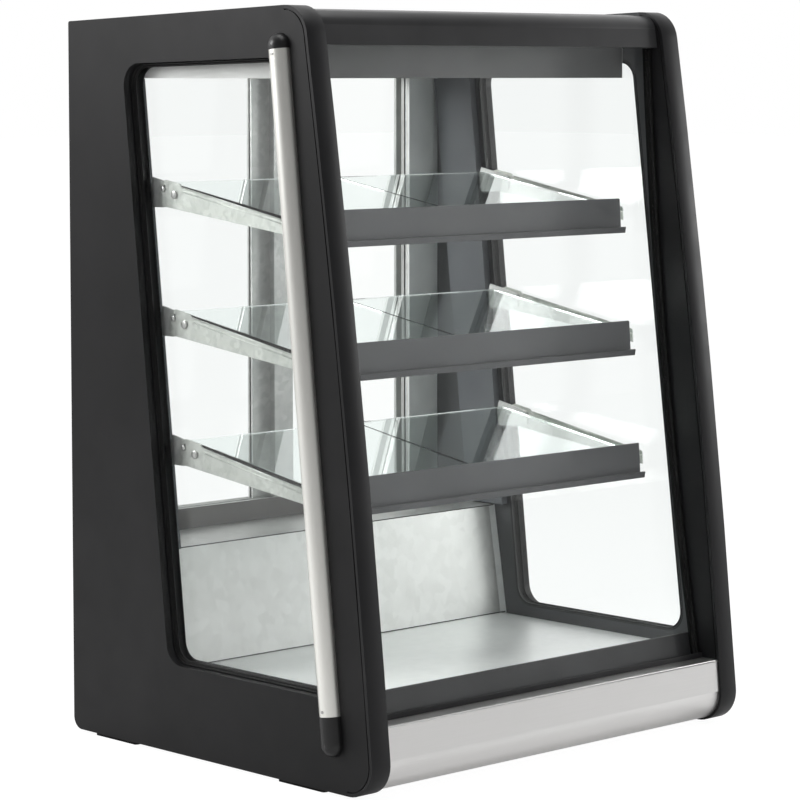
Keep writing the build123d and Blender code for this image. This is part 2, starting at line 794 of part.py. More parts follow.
# Doors: a frame, its pane and nylon glides that run in the tracks
DOOR_X = {"left": (-OPEN_X - DOOR_IN_FRAME, DOOR_LAP), "right": (-DOOR_LAP, OPEN_X + DOOR_IN_FRAME)}
for side, (low_x, high_x) in DOOR_X.items():
    door_y = DOOR_Y[side]
    mid_x = (low_x + high_x) / 2
    mid_z = (DOOR_LOW + DOOR_TOP) / 2
    pane_w = high_x - low_x - STILE_W - DOOR_EDGE_W
    pane_h = DOOR_TOP - DOOR_LOW - 2 * DOOR_EDGE_W
    pane_x = mid_x + SIDE_SIGN[side] * (STILE_W - DOOR_EDGE_W) / 2
    pull_x = SIDE_SIGN[side] * (STILE_W / 2 - DOOR_LAP)

    with BuildPart() as door_glass:
        with BuildSketch(Plane.XZ.offset(-door_y - DOOR_T / 2 - DOOR_GLASS_T / 2)):
            with Locations((pane_x, mid_z)):
                Rectangle(pane_w + 2 * GLASS_IN_DOOR, pane_h + 2 * GLASS_IN_DOOR)
        extrude(amount=DOOR_GLASS_T)
    save(door_glass, f"{side}_door_glass")

    with BuildPart() as door_frame:
        with BuildSketch(Plane.XZ.offset(-door_y - DOOR_T)):
            with Locations((mid_x, mid_z)):
                Rectangle(high_x - low_x, DOOR_TOP - DOOR_LOW)
            with Locations((pane_x, mid_z)):
                Rectangle(pane_w, pane_h, mode=Mode.SUBTRACT)
        extrude(amount=DOOR_T)
        add(door_glass.part, mode=Mode.SUBTRACT)
        with BuildSketch(Plane.XZ.offset(-door_y - DOOR_T)):
            with Locations((pull_x, mid_z)):
                SlotOverall(PULL_L, PULL_W, rotation=90)
        extrude(amount=PULL_DEPTH, mode=Mode.SUBTRACT)
    save(door_frame, f"{side}_door_frame")

    with BuildPart() as door_glides:
        for glide_z in (DOOR_LOW - GLIDE_H, DOOR_TOP):
            for glide_x in (low_x + GLIDE_L, high_x - GLIDE_L):
                with BuildSketch(Plane.XY.offset(glide_z)):
                    with Locations((glide_x, door_y + DOOR_T / 2)):
                        SlotOverall(GLIDE_L, DOOR_T - GLIDE_THIN)
                extrude(amount=GLIDE_H)
    save(door_glides, f"{side}_door_glides")


def shelf_plane(index, x=0.0):
    """A shelf's own plane at X: local X forward down the slope, local Y square to its glass."""
    pivot = Vector(x, PIVOT_TOP[0] - index * SHELF_STEP, PIVOT_TOP[1] - index * SHELF_PITCH)
    tilt = math.radians(SHELF_TILT)
    return Plane(origin=pivot, x_dir=(0, -math.cos(tilt), -math.sin(tilt)), z_dir=(-1, 0, 0))


def upright_front(z):
    """Y of the uprights' front face at a height."""
    return -UPRIGHT_FRONT - UPRIGHT_LEAN * (WIN_TOP_REAR[1] - z)


def lip_back(n):
    """How far forward the back of a shelf's leaning lip stands at a height over its plane."""
    return SHELF_FRONT + LIP_LEAN * (LIP_UP - n) / (LIP_UP + LIP_DOWN + LIP_T)


def arm_end(n):
    """Where an arm stops behind the lip at a height over the shelf's plane."""
    return lip_back(n) - 2 * SEAT


ARM_OUTLINE = (
    (-ARM_TAIL, -ARM_LOW),
    (-ARM_TAIL, ARM_TAIL_TOP),
    (ARM_SHOULDER_RUN[0], ARM_SHOULDER),
    (ARM_SHOULDER_RUN[1], ARM_SHOULDER),
    ARM_STEP,
    (arm_end(ARM_TIP_TOP), ARM_TIP_TOP),
    (arm_end(-ARM_TIP_LOW), -ARM_TIP_LOW),
)
STOP_REACH = math.hypot(STOP_U, STOP_N)
STOP_ANGLE = math.degrees(math.atan2(STOP_N, STOP_U))
HUB_X = ARM_OUT - ARM_T - RUN - HOOK_T
UNDER_GLASS = SHELF_GLASS_N - SEAT

# Pivot and stop rivets
with BuildPart() as shelf_rivets:
    for index in range(SHELF_COUNT):
        for sign in (-1, 1):
            hub = shelf_plane(index, sign * HUB_X)
            for spot, pin_r, head_r in (
                ((0, 0), PIVOT_R, PIVOT_HEAD_R),
                ((STOP_U, STOP_N), STOP_R, STOP_HEAD_R),
            ):
                with BuildSketch(hub):
                    with Locations(spot):
                        Circle(pin_r)
                extrude(amount=-sign * (HOOK_T + RUN + ARM_T + 2 * RUN))
                with BuildSketch(shelf_plane(index, sign * (ARM_OUT + RUN))):
                    with Locations(spot):
                        Circle(head_r)
                extrude(amount=-sign * RIVET_HEAD)
save(shelf_rivets, "shelf_rivets")

# Hook plates: fixed halves of the brackets, with tabs through the uprights
with BuildPart() as hook_plates:
    for index in range(SHELF_COUNT):
        pivot_y = PIVOT_TOP[0] - index * SHELF_STEP
        pivot_z = PIVOT_TOP[1] - index * SHELF_PITCH
        face_y = upright_front(pivot_z)
        for start in (-HUB_X - HOOK_T, HUB_X):
            with BuildSketch(at_x(start)):
                with BuildLine():
                    Polyline(
                        (face_y + TAB_IN, pivot_z + TAB_H / 2),
                        (face_y - HOOK_ROOT, pivot_z + TAB_H / 2),
                        (face_y - HOOK_SHOULDER, pivot_z + HOOK_UP),
                        (pivot_y + HOOK_WAIST_RUN, pivot_z + HOOK_WAIST),
                        (pivot_y - HOOK_NOSE, pivot_z + HOOK_NOSE_TOP),
                        (pivot_y - HOOK_NOSE, pivot_z - HOOK_NOSE_LOW),
                        (pivot_y + HOOK_WAIST_RUN, pivot_z - HOOK_WAIST),
                        (face_y - HOOK_SHOULDER, pivot_z - HOOK_WAIST),
                        (face_y - HOOK_ROOT, pivot_z - TAB_H / 2),
                        (face_y + TAB_IN, pivot_z - TAB_H / 2),
                        close=True,
                    )
                make_face()
            extrude(amount=HOOK_T)
    add(shelf_rivets.part, mode=Mode.SUBTRACT)
save(hook_plates, "hook_plates")

# Uprights: slanting channels open towards the panel, slotted for the tabs
with BuildPart() as shelf_uprights:
    for start in (-X_IN + SEAT, X_IN - SEAT - UPRIGHT_T):
        sign = -1 if start < 0 else 1
        with BuildSketch(at_x(start)):
            with BuildLine():
                Polyline(
                    (upright_front(CEILING_Z - 1), CEILING_Z - 1),
                    (upright_front(CEILING_Z - 1) + UPRIGHT_W, CEILING_Z - 1),
                    (upright_front(UPRIGHT_LOW) + UPRIGHT_W, UPRIGHT_LOW),
                    (upright_front(UPRIGHT_LOW), UPRIGHT_LOW),
                    close=True,
                )
            make_face()
        extrude(amount=UPRIGHT_T)
        with BuildSketch(at_x(start + (UPRIGHT_WALL if sign > 0 else -UPRIGHT_WALL))):
            with BuildLine():
                Polyline(
                    (upright_front(CEILING_Z) + UPRIGHT_WALL, CEILING_Z),
                    (upright_front(CEILING_Z) + UPRIGHT_W - UPRIGHT_WALL, CEILING_Z),
                    (upright_front(UPRIGHT_LOW) + UPRIGHT_W - UPRIGHT_WALL, UPRIGHT_LOW),
                    (upright_front(UPRIGHT_LOW) + UPRIGHT_WALL, UPRIGHT_LOW),
                    close=True,
                )
            make_face()
        extrude(amount=UPRIGHT_T, mode=Mode.SUBTRACT)
        for index in range(SHELF_COUNT):
            pivot_z = PIVOT_TOP[1] - index * SHELF_PITCH
            slot_x = sign * (HUB_X + HOOK_T / 2)
            with Locations((slot_x, upright_front(pivot_z), pivot_z)):
                Box(HOOK_T + 2 * RUN, TAB_SLOT, TAB_H + 2 * RUN, mode=Mode.SUBTRACT)
save(shelf_uprights, "shelf_uprights")

# Each shelf: a pair of arms, two panes and the front rail
for index in range(SHELF_COUNT):
    with BuildPart() as shelf_arms:
        for sign in (-1, 1):
            outer = shelf_plane(index, sign * ARM_OUT)
            with BuildSketch(outer):
                with BuildLine():
                    Polyline(*ARM_OUTLINE, close=True)
                make_face()
                Circle(PIVOT_R + PIN_FIT, mode=Mode.SUBTRACT)
            extrude(amount=sign * ARM_T)
            stop_path = CenterArc(
                (0, 0),
                STOP_REACH,
                STOP_ANGLE + SLOT_SLACK,
                -SHELF_TILT - 2 * SLOT_SLACK,
                mode=Mode.PRIVATE,
            )
            with BuildSketch(outer):
                SlotArc(arc=stop_path, height=2 * (STOP_R + PIN_FIT))
            extrude(amount=sign * ARM_T, mode=Mode.SUBTRACT)
            with BuildSketch(outer):
                with BuildLine():
                    Polyline(
                        (FLANGE_START, UNDER_GLASS),
                        (arm_end(UNDER_GLASS), UNDER_GLASS),
                        (arm_end(UNDER_GLASS - ARM_T), UNDER_GLASS - ARM_T),
                        (FLANGE_START, UNDER_GLASS - ARM_T),
                        close=True,
                    )
                make_face()
            extrude(amount=sign * ARM_FLANGE)
    save(shelf_arms, f"shelf_{index + 1}_arms")

    with BuildPart() as shelf_glass:
        for start in (-SHELF_HALF, PANE_SEAM):
            with BuildSketch(shelf_plane(index, start)):
                with BuildLine():
                    Polyline(
                        (SHELF_BACK, SHELF_GLASS_N),
                        (SHELF_FRONT - SEAT, SHELF_GLASS_N),
                        (SHELF_FRONT - SEAT, SHELF_GLASS_N + SHELF_GLASS_T),
                        (SHELF_BACK, SHELF_GLASS_N + SHELF_GLASS_T),
                        close=True,
                    )
                make_face()
            extrude(amount=-(SHELF_HALF - PANE_SEAM))
    save(shelf_glass, f"shelf_{index + 1}_glass")

    lip_foot = SHELF_FRONT + LIP_T + LIP_LEAN
    flange_half = ARM_OUT - ARM_FLANGE - RAIL_FLANGE_GAP
    with BuildPart() as shelf_rail:
        with BuildSketch(shelf_plane(index, -RAIL_HALF)):
            with BuildLine():
                Polyline(
                    (SHELF_FRONT + LIP_T, LIP_UP),
                    (lip_foot, -LIP_DOWN),
                    (lip_foot + LIP_LEDGE, -LIP_DOWN),
                    (lip_foot + LIP_LEDGE, -LIP_DOWN + LIP_HOOK),
                    (lip_foot + LIP_LEDGE + LIP_T, -LIP_DOWN + LIP_HOOK),
                    (lip_foot + LIP_LEDGE + LIP_T, -LIP_DOWN - LIP_T),
                    (lip_foot - LIP_T, -LIP_DOWN - LIP_T),
                    (SHELF_FRONT, LIP_UP),
                    close=True,
                )
            make_face()
        extrude(amount=-2 * RAIL_HALF)
        with BuildSketch(shelf_plane(index, -flange_half)):
            with BuildLine():
                Polyline(
                    (lip_back(UNDER_GLASS) + LIP_T / 2, UNDER_GLASS),
                    (SHELF_FRONT - RAIL_FLANGE, UNDER_GLASS),
                    (SHELF_FRONT - RAIL_FLANGE, UNDER_GLASS - LIP_T),
                    (lip_back(UNDER_GLASS - LIP_T) + LIP_T / 2, UNDER_GLASS - LIP_T),
                    close=True,
                )
            make_face()
        extrude(amount=-2 * flange_half)
    save(shelf_rail, f"shelf_{index + 1}_rail")

BASE_Z = TRAY_Z + SHEET
STANDING = (Align.CENTER, Align.CENTER, Align.MIN)
COMP_PLATE_Z = BASE_Z + COMP_PLATE_LIFT
COMP_CAN_Z = COMP_PLATE_Z + COMP_PLATE_T

# Compressor: a domed can on a plate with rubber feet, and its terminal box
with BuildPart() as compressor:
    with Locations((COMP_X, COMP_Y, COMP_PLATE_Z)):
        Box(2 * (COMP_R + COMP_PLATE_EDGE), 2 * COMP_R, COMP_PLATE_T, align=STANDING)
    with Locations((COMP_X, COMP_Y, COMP_CAN_Z)):
        Cylinder(COMP_R, COMP_H, align=STANDING)
    fillet(compressor.edges().filter_by(GeomType.CIRCLE).sort_by(Axis.Z)[-1], COMP_DOME)
    terminal_x = COMP_X - COMP_R - TERMINAL_W / 2 + TERMINAL_SINK
    with Locations((terminal_x, COMP_Y, BASE_Z + TERMINAL_LIFT)):
        Box(TERMINAL_W, TERMINAL_D, TERMINAL_H, align=STANDING)
    for spot_x in (-COMP_R - COMP_FOOT_OUT, COMP_R + COMP_FOOT_OUT):
        for spot_y in (-COMP_R + COMP_FOOT_IN, COMP_R - COMP_FOOT_IN):
            with Locations((COMP_X + spot_x, COMP_Y + spot_y, BASE_Z)):
                Cylinder(COMP_FOOT_R, COMP_FOOT_H, align=STANDING)
save(compressor, "compressor")

# Condenser: fins on six tube passes
with BuildPart() as condenser_coil:
    for fin in range(FIN_COUNT):
        fin_y = COMP_Y - COIL_W / 2 + (fin + 0.5) * COIL_W / FIN_COUNT
        with Locations((COIL_X, fin_y, BASE_Z)):
            Box(COIL_DEPTH, FIN_T, COIL_H, align=STANDING)
    for row in range(COIL_TUBES):
        tube_x = COIL_X + (COIL_TUBE_SHIFT if row % 2 else -COIL_TUBE_SHIFT)
        with BuildSketch(Plane.XZ.offset(-COMP_Y - COIL_W / 2 - TUBE_PROUD)):
            with Locations((tube_x, BASE_Z + COIL_TUBE_LOW + row * COIL_TUBE_STEP)):
                Circle(TUBE_R)
        extrude(amount=COIL_W + 2 * TUBE_PROUD)
save(condenser_coil, "condenser_coil")

# Condenser fan with its shroud, bracket and motor
SHROUD_X = COIL_X + COIL_DEPTH / 2 + MOTOR_GAP
SHROUD_R = FAN_R + SHROUD_GAP
with BuildPart() as fan_shroud:
    with BuildSketch(at_x(SHROUD_X)):
        with Locations((COMP_Y, BASE_Z + COIL_H / 2)):
            Rectangle(COIL_W, COIL_H)
        with Locations((COMP_Y, FAN_Z)):
            Circle(SHROUD_R, mode=Mode.SUBTRACT)
    extrude(amount=SHROUD_T)
    with BuildSketch(at_x(SHROUD_X)):
        with Locations((COMP_Y, FAN_Z)):
            Circle(SHROUD_R + SHROUD_T)
            Circle(SHROUD_R, mode=Mode.SUBTRACT)
    extrude(amount=SHROUD_DEPTH)
save(fan_shroud, "fan_shroud")


def fan_rotor(builder_plane, radius, hub_r, hub_l):
    """A hub with flat pitched blades about a plane's normal."""
    reach = radius - hub_r + BLADE_SINK
    chord = 0.7 * hub_r + 0.3 * radius
    with BuildPart(builder_plane) as rotor:
        Cylinder(hub_r, hub_l)
        with PolarLocations(0, FAN_BLADES):
            with Locations(Location((radius - reach / 2, 0, 0), (FAN_PITCH, 0, 0))):
                Box(reach, chord, BLADE_T)
        Cylinder(SHAFT_R + PIN_FIT, hub_l, mode=Mode.SUBTRACT)
    return rotor


FAN_X = SHROUD_X + FAN_AHEAD
condenser_fan = fan_rotor(
    Plane(origin=(FAN_X, COMP_Y, FAN_Z), z_dir=(1, 0, 0)), FAN_R, FAN_HUB_R, FAN_HUB_L
)
save(condenser_fan, "condenser_fan")

with BuildPart() as fan_motor:
    with BuildSketch(at_x(FAN_X - FAN_HUB_L / 2)):
        with Locations((COMP_Y, FAN_Z)):
            Circle(SHAFT_R)
    extrude(amount=FAN_HUB_L + MOTOR_GAP)
    with BuildSketch(at_x(FAN_X + FAN_HUB_L / 2 + MOTOR_GAP)):
        with Locations((COMP_Y, FAN_Z)):
            Circle(MOTOR_R)
    extrude(amount=MOTOR_L)
    with Locations((FAN_X + FAN_HUB_L / 2 + BRACKET_BACK, COMP_Y, BASE_Z)):
        Box(BRACKET_T, BRACKET_W, FAN_Z - BASE_Z - BRACKET_TOP_GAP, align=STANDING)
save(fan_motor, "fan_motor")

# Evaporator under the deck with two fans that stir the cold air
EVAP_LOW = BASE_Z + FOAM_T
EVAP_FINS = 2 * FIN_COUNT
with BuildPart() as evaporator_coil:
    for fin in range(EVAP_FINS):
        fin_x = -EVAP_W / 2 + (fin + 0.5) * EVAP_W / EVAP_FINS
        with Locations((fin_x, EVAP_Y, EVAP_LOW)):
            Box(FIN_T, EVAP_D, EVAP_H, align=STANDING)
    for row in range(EVAP_TUBES):
        tube_y = EVAP_Y + (row - (EVAP_TUBES - 1) / 2) * EVAP_TUBE_STEP
        with BuildSketch(at_x(-EVAP_W / 2 - EVAP_TUBE_PROUD)):
            with Locations((tube_y, EVAP_LOW + (EVAP_TUBE_LOW if row % 2 else EVAP_TUBE_HIGH))):
                Circle(TUBE_R)
        extrude(amount=EVAP_W + 2 * EVAP_TUBE_PROUD)
save(evaporator_coil, "evaporator_coil")

EVAP_FAN_Z = EVAP_LOW + EVAP_FAN_LIFT
for side, sign in SIDE_SIGN.items():
    evaporator_fan = fan_rotor(
        Plane(origin=(sign * EVAP_FAN_X, EVAP_FAN_Y, EVAP_FAN_Z)),
        EVAP_FAN_R,
        EVAP_HUB_R,
        EVAP_HUB_L,
    )
    save(evaporator_fan, f"{side}_evaporator_fan")

with BuildPart() as evaporator_motors:
    for sign in SIDE_SIGN.values():
        with Locations((sign * EVAP_FAN_X, EVAP_FAN_Y, EVAP_LOW)):
            Cylinder(EVAP_MOTOR_R, EVAP_MOTOR_H, align=STANDING)
            Cylinder(SHAFT_R, EVAP_FAN_LIFT + EVAP_HUB_L / 2, align=STANDING)
save(evaporator_motors, "evaporator_motors")

# Copper line from the compressor's top to the condenser's
LINE_X = COMP_X - LINE_ASIDE
LINE_Y = COMP_Y + LINE_BACK
LINE_Z = LEDGE_Z - LINE_DROP
with BuildPart() as copper_line:
    with BuildLine() as route:
        FilletPolyline(
            (LINE_X, LINE_Y, COMP_CAN_Z + COMP_H + SEAT),
            (LINE_X, LINE_Y, LINE_Z),
            (COIL_X, LINE_Y, LINE_Z),
            (COIL_X, LINE_Y, BASE_Z + COIL_H + SEAT),
            radius=LINE_BEND,
        )
    with BuildSketch(Plane(origin=route.line @ 0, z_dir=route.line % 0)):
        Circle(LINE_R)
    sweep(path=route.line)
save(copper_line, "copper_line")

# Rear panel with louvres and cut-outs for the controls
REAR_PANEL_TOP = FRAME_LOW - SEAT
REAR_PANEL_LOW = BASE_Z + SEAT
BACK = Plane.XZ.offset(-FRAME_BACK)
with BuildPart() as rear_panel:
    with BuildSketch(BACK):
        with Locations((0, (REAR_PANEL_LOW + REAR_PANEL_TOP) / 2)):
            Rectangle(SPAN, REAR_PANEL_TOP - REAR_PANEL_LOW)
        for bank_x in (-LOUVRE_X, LOUVRE_X):
            with Locations((bank_x, LOUVRE_Z)):
                with GridLocations(0, LOUVRE_STEP, 1, LOUVRE_COUNT):
                    SlotOverall(LOUVRE_L, LOUVRE_W, mode=Mode.SUBTRACT)
        with Locations((CTRL_X, CTRL_Z)):
            Rectangle(CTRL_W - 2 * BEZEL_LAP, CTRL_H - 2 * BEZEL_LAP, mode=Mode.SUBTRACT)
        with Locations((SWITCH_X, CTRL_Z)):
            Rectangle(SWITCH_W + 2 * SWITCH_WALL, SWITCH_H + 2 * SWITCH_WALL, mode=Mode.SUBTRACT)
        with Locations((INLET_X, CTRL_Z)):
            Rectangle(INLET_W, INLET_H, mode=Mode.SUBTRACT)
    extrude(amount=SHEET)
save(rear_panel, "rear_panel")

# Controller: bezel and box, a dark display window and two push buttons
BEZEL_FACE = Plane.XZ.offset(-FRAME_BACK - BEZEL_T)
with BuildPart() as controller:
    with BuildSketch(BACK):
        with Locations((CTRL_X, CTRL_Z)):
            Rectangle(CTRL_W, CTRL_H)
    extrude(amount=-BEZEL_T)
    with BuildSketch(BACK):
        with Locations((CTRL_X, CTRL_Z)):
            Rectangle(CTRL_W - 2 * BEZEL_LAP - 2 * SEAT, CTRL_H - 2 * BEZEL_LAP - 2 * SEAT)
    extrude(amount=CTRL_D)
    with BuildSketch(BEZEL_FACE):
        with Locations((CTRL_X + DISPLAY_X, CTRL_Z)):
            Rectangle(DISPLAY_W, DISPLAY_H)
    extrude(amount=DISPLAY_DEEP, mode=Mode.SUBTRACT)
    with BuildSketch(BEZEL_FACE):
        for place in BUTTON_PLACES:
            with Locations((CTRL_X + place, CTRL_Z)):
                Circle(BUTTON_R + RUN)
    extrude(amount=BUTTON_DEEP, mode=Mode.SUBTRACT)
save(controller, "controller")

with BuildPart() as display_window:
    with BuildSketch(BEZEL_FACE.offset(DISPLAY_SUNK)):
        with Locations((CTRL_X + DISPLAY_X, CTRL_Z)):
            Rectangle(DISPLAY_W - 2 * SEAT, DISPLAY_H - 2 * SEAT)
    extrude(amount=DISPLAY_DEEP - DISPLAY_SUNK)
save(display_window, "display_window")

for label, place in zip(("button_up", "button_down"), BUTTON_PLACES):
    with BuildPart() as button:
        with BuildSketch(Plane.XZ):
            with Locations((CTRL_X + place, CTRL_Z)):
                Circle(BUTTON_R)
        extrude(amount=BUTTON_DEEP - BUTTON_TRAVEL - RUN)
    save(button, label)

# Lamp switch: frame and a rocker on its own pin
with BuildPart() as switch_body:
    with BuildSketch(BACK):
        with Locations((SWITCH_X, CTRL_Z)):
            Rectangle(SWITCH_W + 2 * SWITCH_FLANGE, SWITCH_H + 2 * SWITCH_FLANGE)
    extrude(amount=-SWITCH_FLANGE_T)
    with BuildSketch(BACK):
        with Locations((SWITCH_X, CTRL_Z)):
            Rectangle(
                SWITCH_W + 2 * SWITCH_WALL - 2 * SEAT,
                SWITCH_H + 2 * SWITCH_WALL - 2 * SEAT,
            )
    extrude(amount=SWITCH_D)
    with BuildSketch(BACK.offset(-SWITCH_FLANGE_T)):
        with Locations((SWITCH_X, CTRL_Z)):
            Rectangle(SWITCH_W, SWITCH_H)
    extrude(amount=SWITCH_WELL, mode=Mode.SUBTRACT)
    with BuildSketch(Plane.XY.offset(CTRL_Z - SWITCH_H / 2)):
        with Locations((SWITCH_X, ROCKER_Y)):
            Circle(ROCKER_PIN_R)
    extrude(amount=SWITCH_H)
save(switch_body, "switch_body")

with BuildPart() as switch_rocker:
    tilt = math.radians(SWITCH_TILT)
    rocker_foot = (SWITCH_X, ROCKER_Y, CTRL_Z - SWITCH_H / 2 + 2 * SEAT)
    with BuildSketch(
        Plane(origin=rocker_foot, x_dir=(math.cos(tilt), math.sin(tilt), 0), z_dir=(0, 0, 1))
    ):
        with BuildLine():
            Polyline(
                (-ROCKER_HALF, ROCKER_TIP),
                (0, ROCKER_TIP - ROCKER_DISH),
                (ROCKER_HALF, ROCKER_TIP),
                (ROCKER_HALF, ROCKER_TIP - ROCKER_EDGE),
                (ROCKER_KEEL, -ROCKER_KEEL),
                (-ROCKER_KEEL, -ROCKER_KEEL),
                (-ROCKER_HALF, ROCKER_TIP - ROCKER_EDGE),
                close=True,
            )
        make_face()
        Circle(ROCKER_PIN_R + PIN_FIT, mode=Mode.SUBTRACT)
    extrude(amount=SWITCH_H - 4 * SEAT)
save(switch_rocker, "switch_rocker")

# Mains inlet: flange, shell and three blades
with BuildPart() as power_inlet:
    with BuildSketch(BACK):
        with Locations((INLET_X, CTRL_Z)):
            Rectangle(INLET_W + 2 * INLET_FLANGE[0], INLET_H + 2 * INLET_FLANGE[1])
    extrude(amount=-INLET_FLANGE_T)
    with BuildSketch(BACK):
        with Locations((INLET_X, CTRL_Z)):
            Rectangle(INLET_W - 2 * SEAT, INLET_H - 2 * SEAT)
    extrude(amount=INLET_D)
    with BuildSketch(Plane.XZ):
        with Locations((INLET_X, CTRL_Z)):
            Rectangle(INLET_W - 2 * INLET_WALL[0], INLET_H - 2 * INLET_WALL[1])
    extrude(amount=INLET_DEEP, mode=Mode.SUBTRACT)
    with BuildSketch(Plane.XZ.offset(INLET_DEEP + INLET_FLANGE_T)):
        for blade_x, blade_z in BLADE_PLACES:
            with Locations((INLET_X + blade_x, CTRL_Z + blade_z)):
                Rectangle(*BLADE_SIZE)
    extrude(amount=-BLADE_L)
save(power_inlet, "power_inlet")

# Rubber pads under the side panels
with BuildPart() as rubber_feet:
    for foot_x in (-X_IN - PANEL_T / 2, X_IN + PANEL_T / 2):
        for foot_y in FEET_Y:
            with BuildSketch(Plane.XY):
                with Locations((foot_x, foot_y)):
                    RectangleRounded(FOOT_W, FOOT_L, FOOT_R)
            extrude(amount=FOOT_SHOW)
save(rubber_feet, "rubber_feet")
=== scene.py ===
"""Dresses the refrigerated pastry case: finishes for every piece, and the fine pieces that the
construction leaves plain. Metres, in the same frame as the solids."""
import math

import bmesh
import bpy
import numpy as np
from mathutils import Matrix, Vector


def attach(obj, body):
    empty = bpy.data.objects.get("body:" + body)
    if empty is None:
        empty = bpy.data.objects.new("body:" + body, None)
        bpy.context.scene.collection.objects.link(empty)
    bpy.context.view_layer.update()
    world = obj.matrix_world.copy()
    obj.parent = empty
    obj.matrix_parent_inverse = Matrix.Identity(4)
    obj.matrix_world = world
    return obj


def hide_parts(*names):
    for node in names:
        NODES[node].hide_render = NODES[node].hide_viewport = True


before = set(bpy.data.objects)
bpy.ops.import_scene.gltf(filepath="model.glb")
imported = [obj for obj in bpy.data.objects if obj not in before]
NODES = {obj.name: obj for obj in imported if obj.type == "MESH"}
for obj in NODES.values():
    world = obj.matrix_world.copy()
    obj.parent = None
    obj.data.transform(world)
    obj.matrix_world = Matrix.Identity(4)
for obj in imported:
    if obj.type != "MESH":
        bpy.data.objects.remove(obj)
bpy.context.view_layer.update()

MM = 0.001

# The panels' rear edges, from which the construction is measured
REAR_EDGE_Y = 0.286015

# Distances in X from the middle plane at which a surface's colour changes (the panels' painted
# light on their inner faces, the gaskets' grey lip, the ceiling's bare ends), and how wide a change
# is
PANEL_LIT_SKIN_X = 0.3004
GASKET_SKIN_X = 0.2995
CEILING_END_X = 0.2988
SKIN_FADE = 0.0006
EDGE_FADE = 0.002

# The front pane seen from the side: Y against Z, with its bow to the rear at mid height
PANE_LEAN = 0.1161
PANE_START_Y = -0.2594
PANE_BOW = 0.01275
PANE_MID_Z = 0.492
PANE_HALF_Z = 0.4

# The rear frame's front face and the top of its sill, where its painted highlight and painted shade
# begin
FRAME_FACE_Y = 0.2522
FRAME_SILL_Z = 0.281

# The case's black, from its dark to its light clouds
CASE_BLACK = ((0.0085, 0.0085, 0.009), (0.0125, 0.0122, 0.013))

# How far brushed lines are drawn out: their breadth over their length
LINE_SHARE = 0.012


# Shader arithmetic
class Socket:
    """A node's output that takes part in sums, as numbers do."""

    def __init__(self, finish, socket):
        self.finish = finish
        self.socket = socket

    def _math(self, operation, *values):
        return self.finish.node("Math", {"operation": operation}, dict(enumerate(values)))

    def __add__(self, other):
        return self._math("ADD", self, other)

    def __radd__(self, other):
        return self._math("ADD", other, self)

    def __sub__(self, other):
        return self._math("SUBTRACT", self, other)

    def __rsub__(self, other):
        return self._math("SUBTRACT", other, self)

    def __mul__(self, other):
        return self._math("MULTIPLY", self, other)

    def __rmul__(self, other):
        return self._math("MULTIPLY", other, self)

    def most(self, other):
        """The greater of two values."""
        return self._math("MAXIMUM", self, other)

    def spread(self, low, high, to_low=0.0, to_high=1.0):
        """Carries the span low..high onto to_low..to_high, held at both ends."""
        span = {0: self, 1: low, 2: high, 3: to_low, 4: to_high}
        return self.finish.node("MapRange", {}, span)


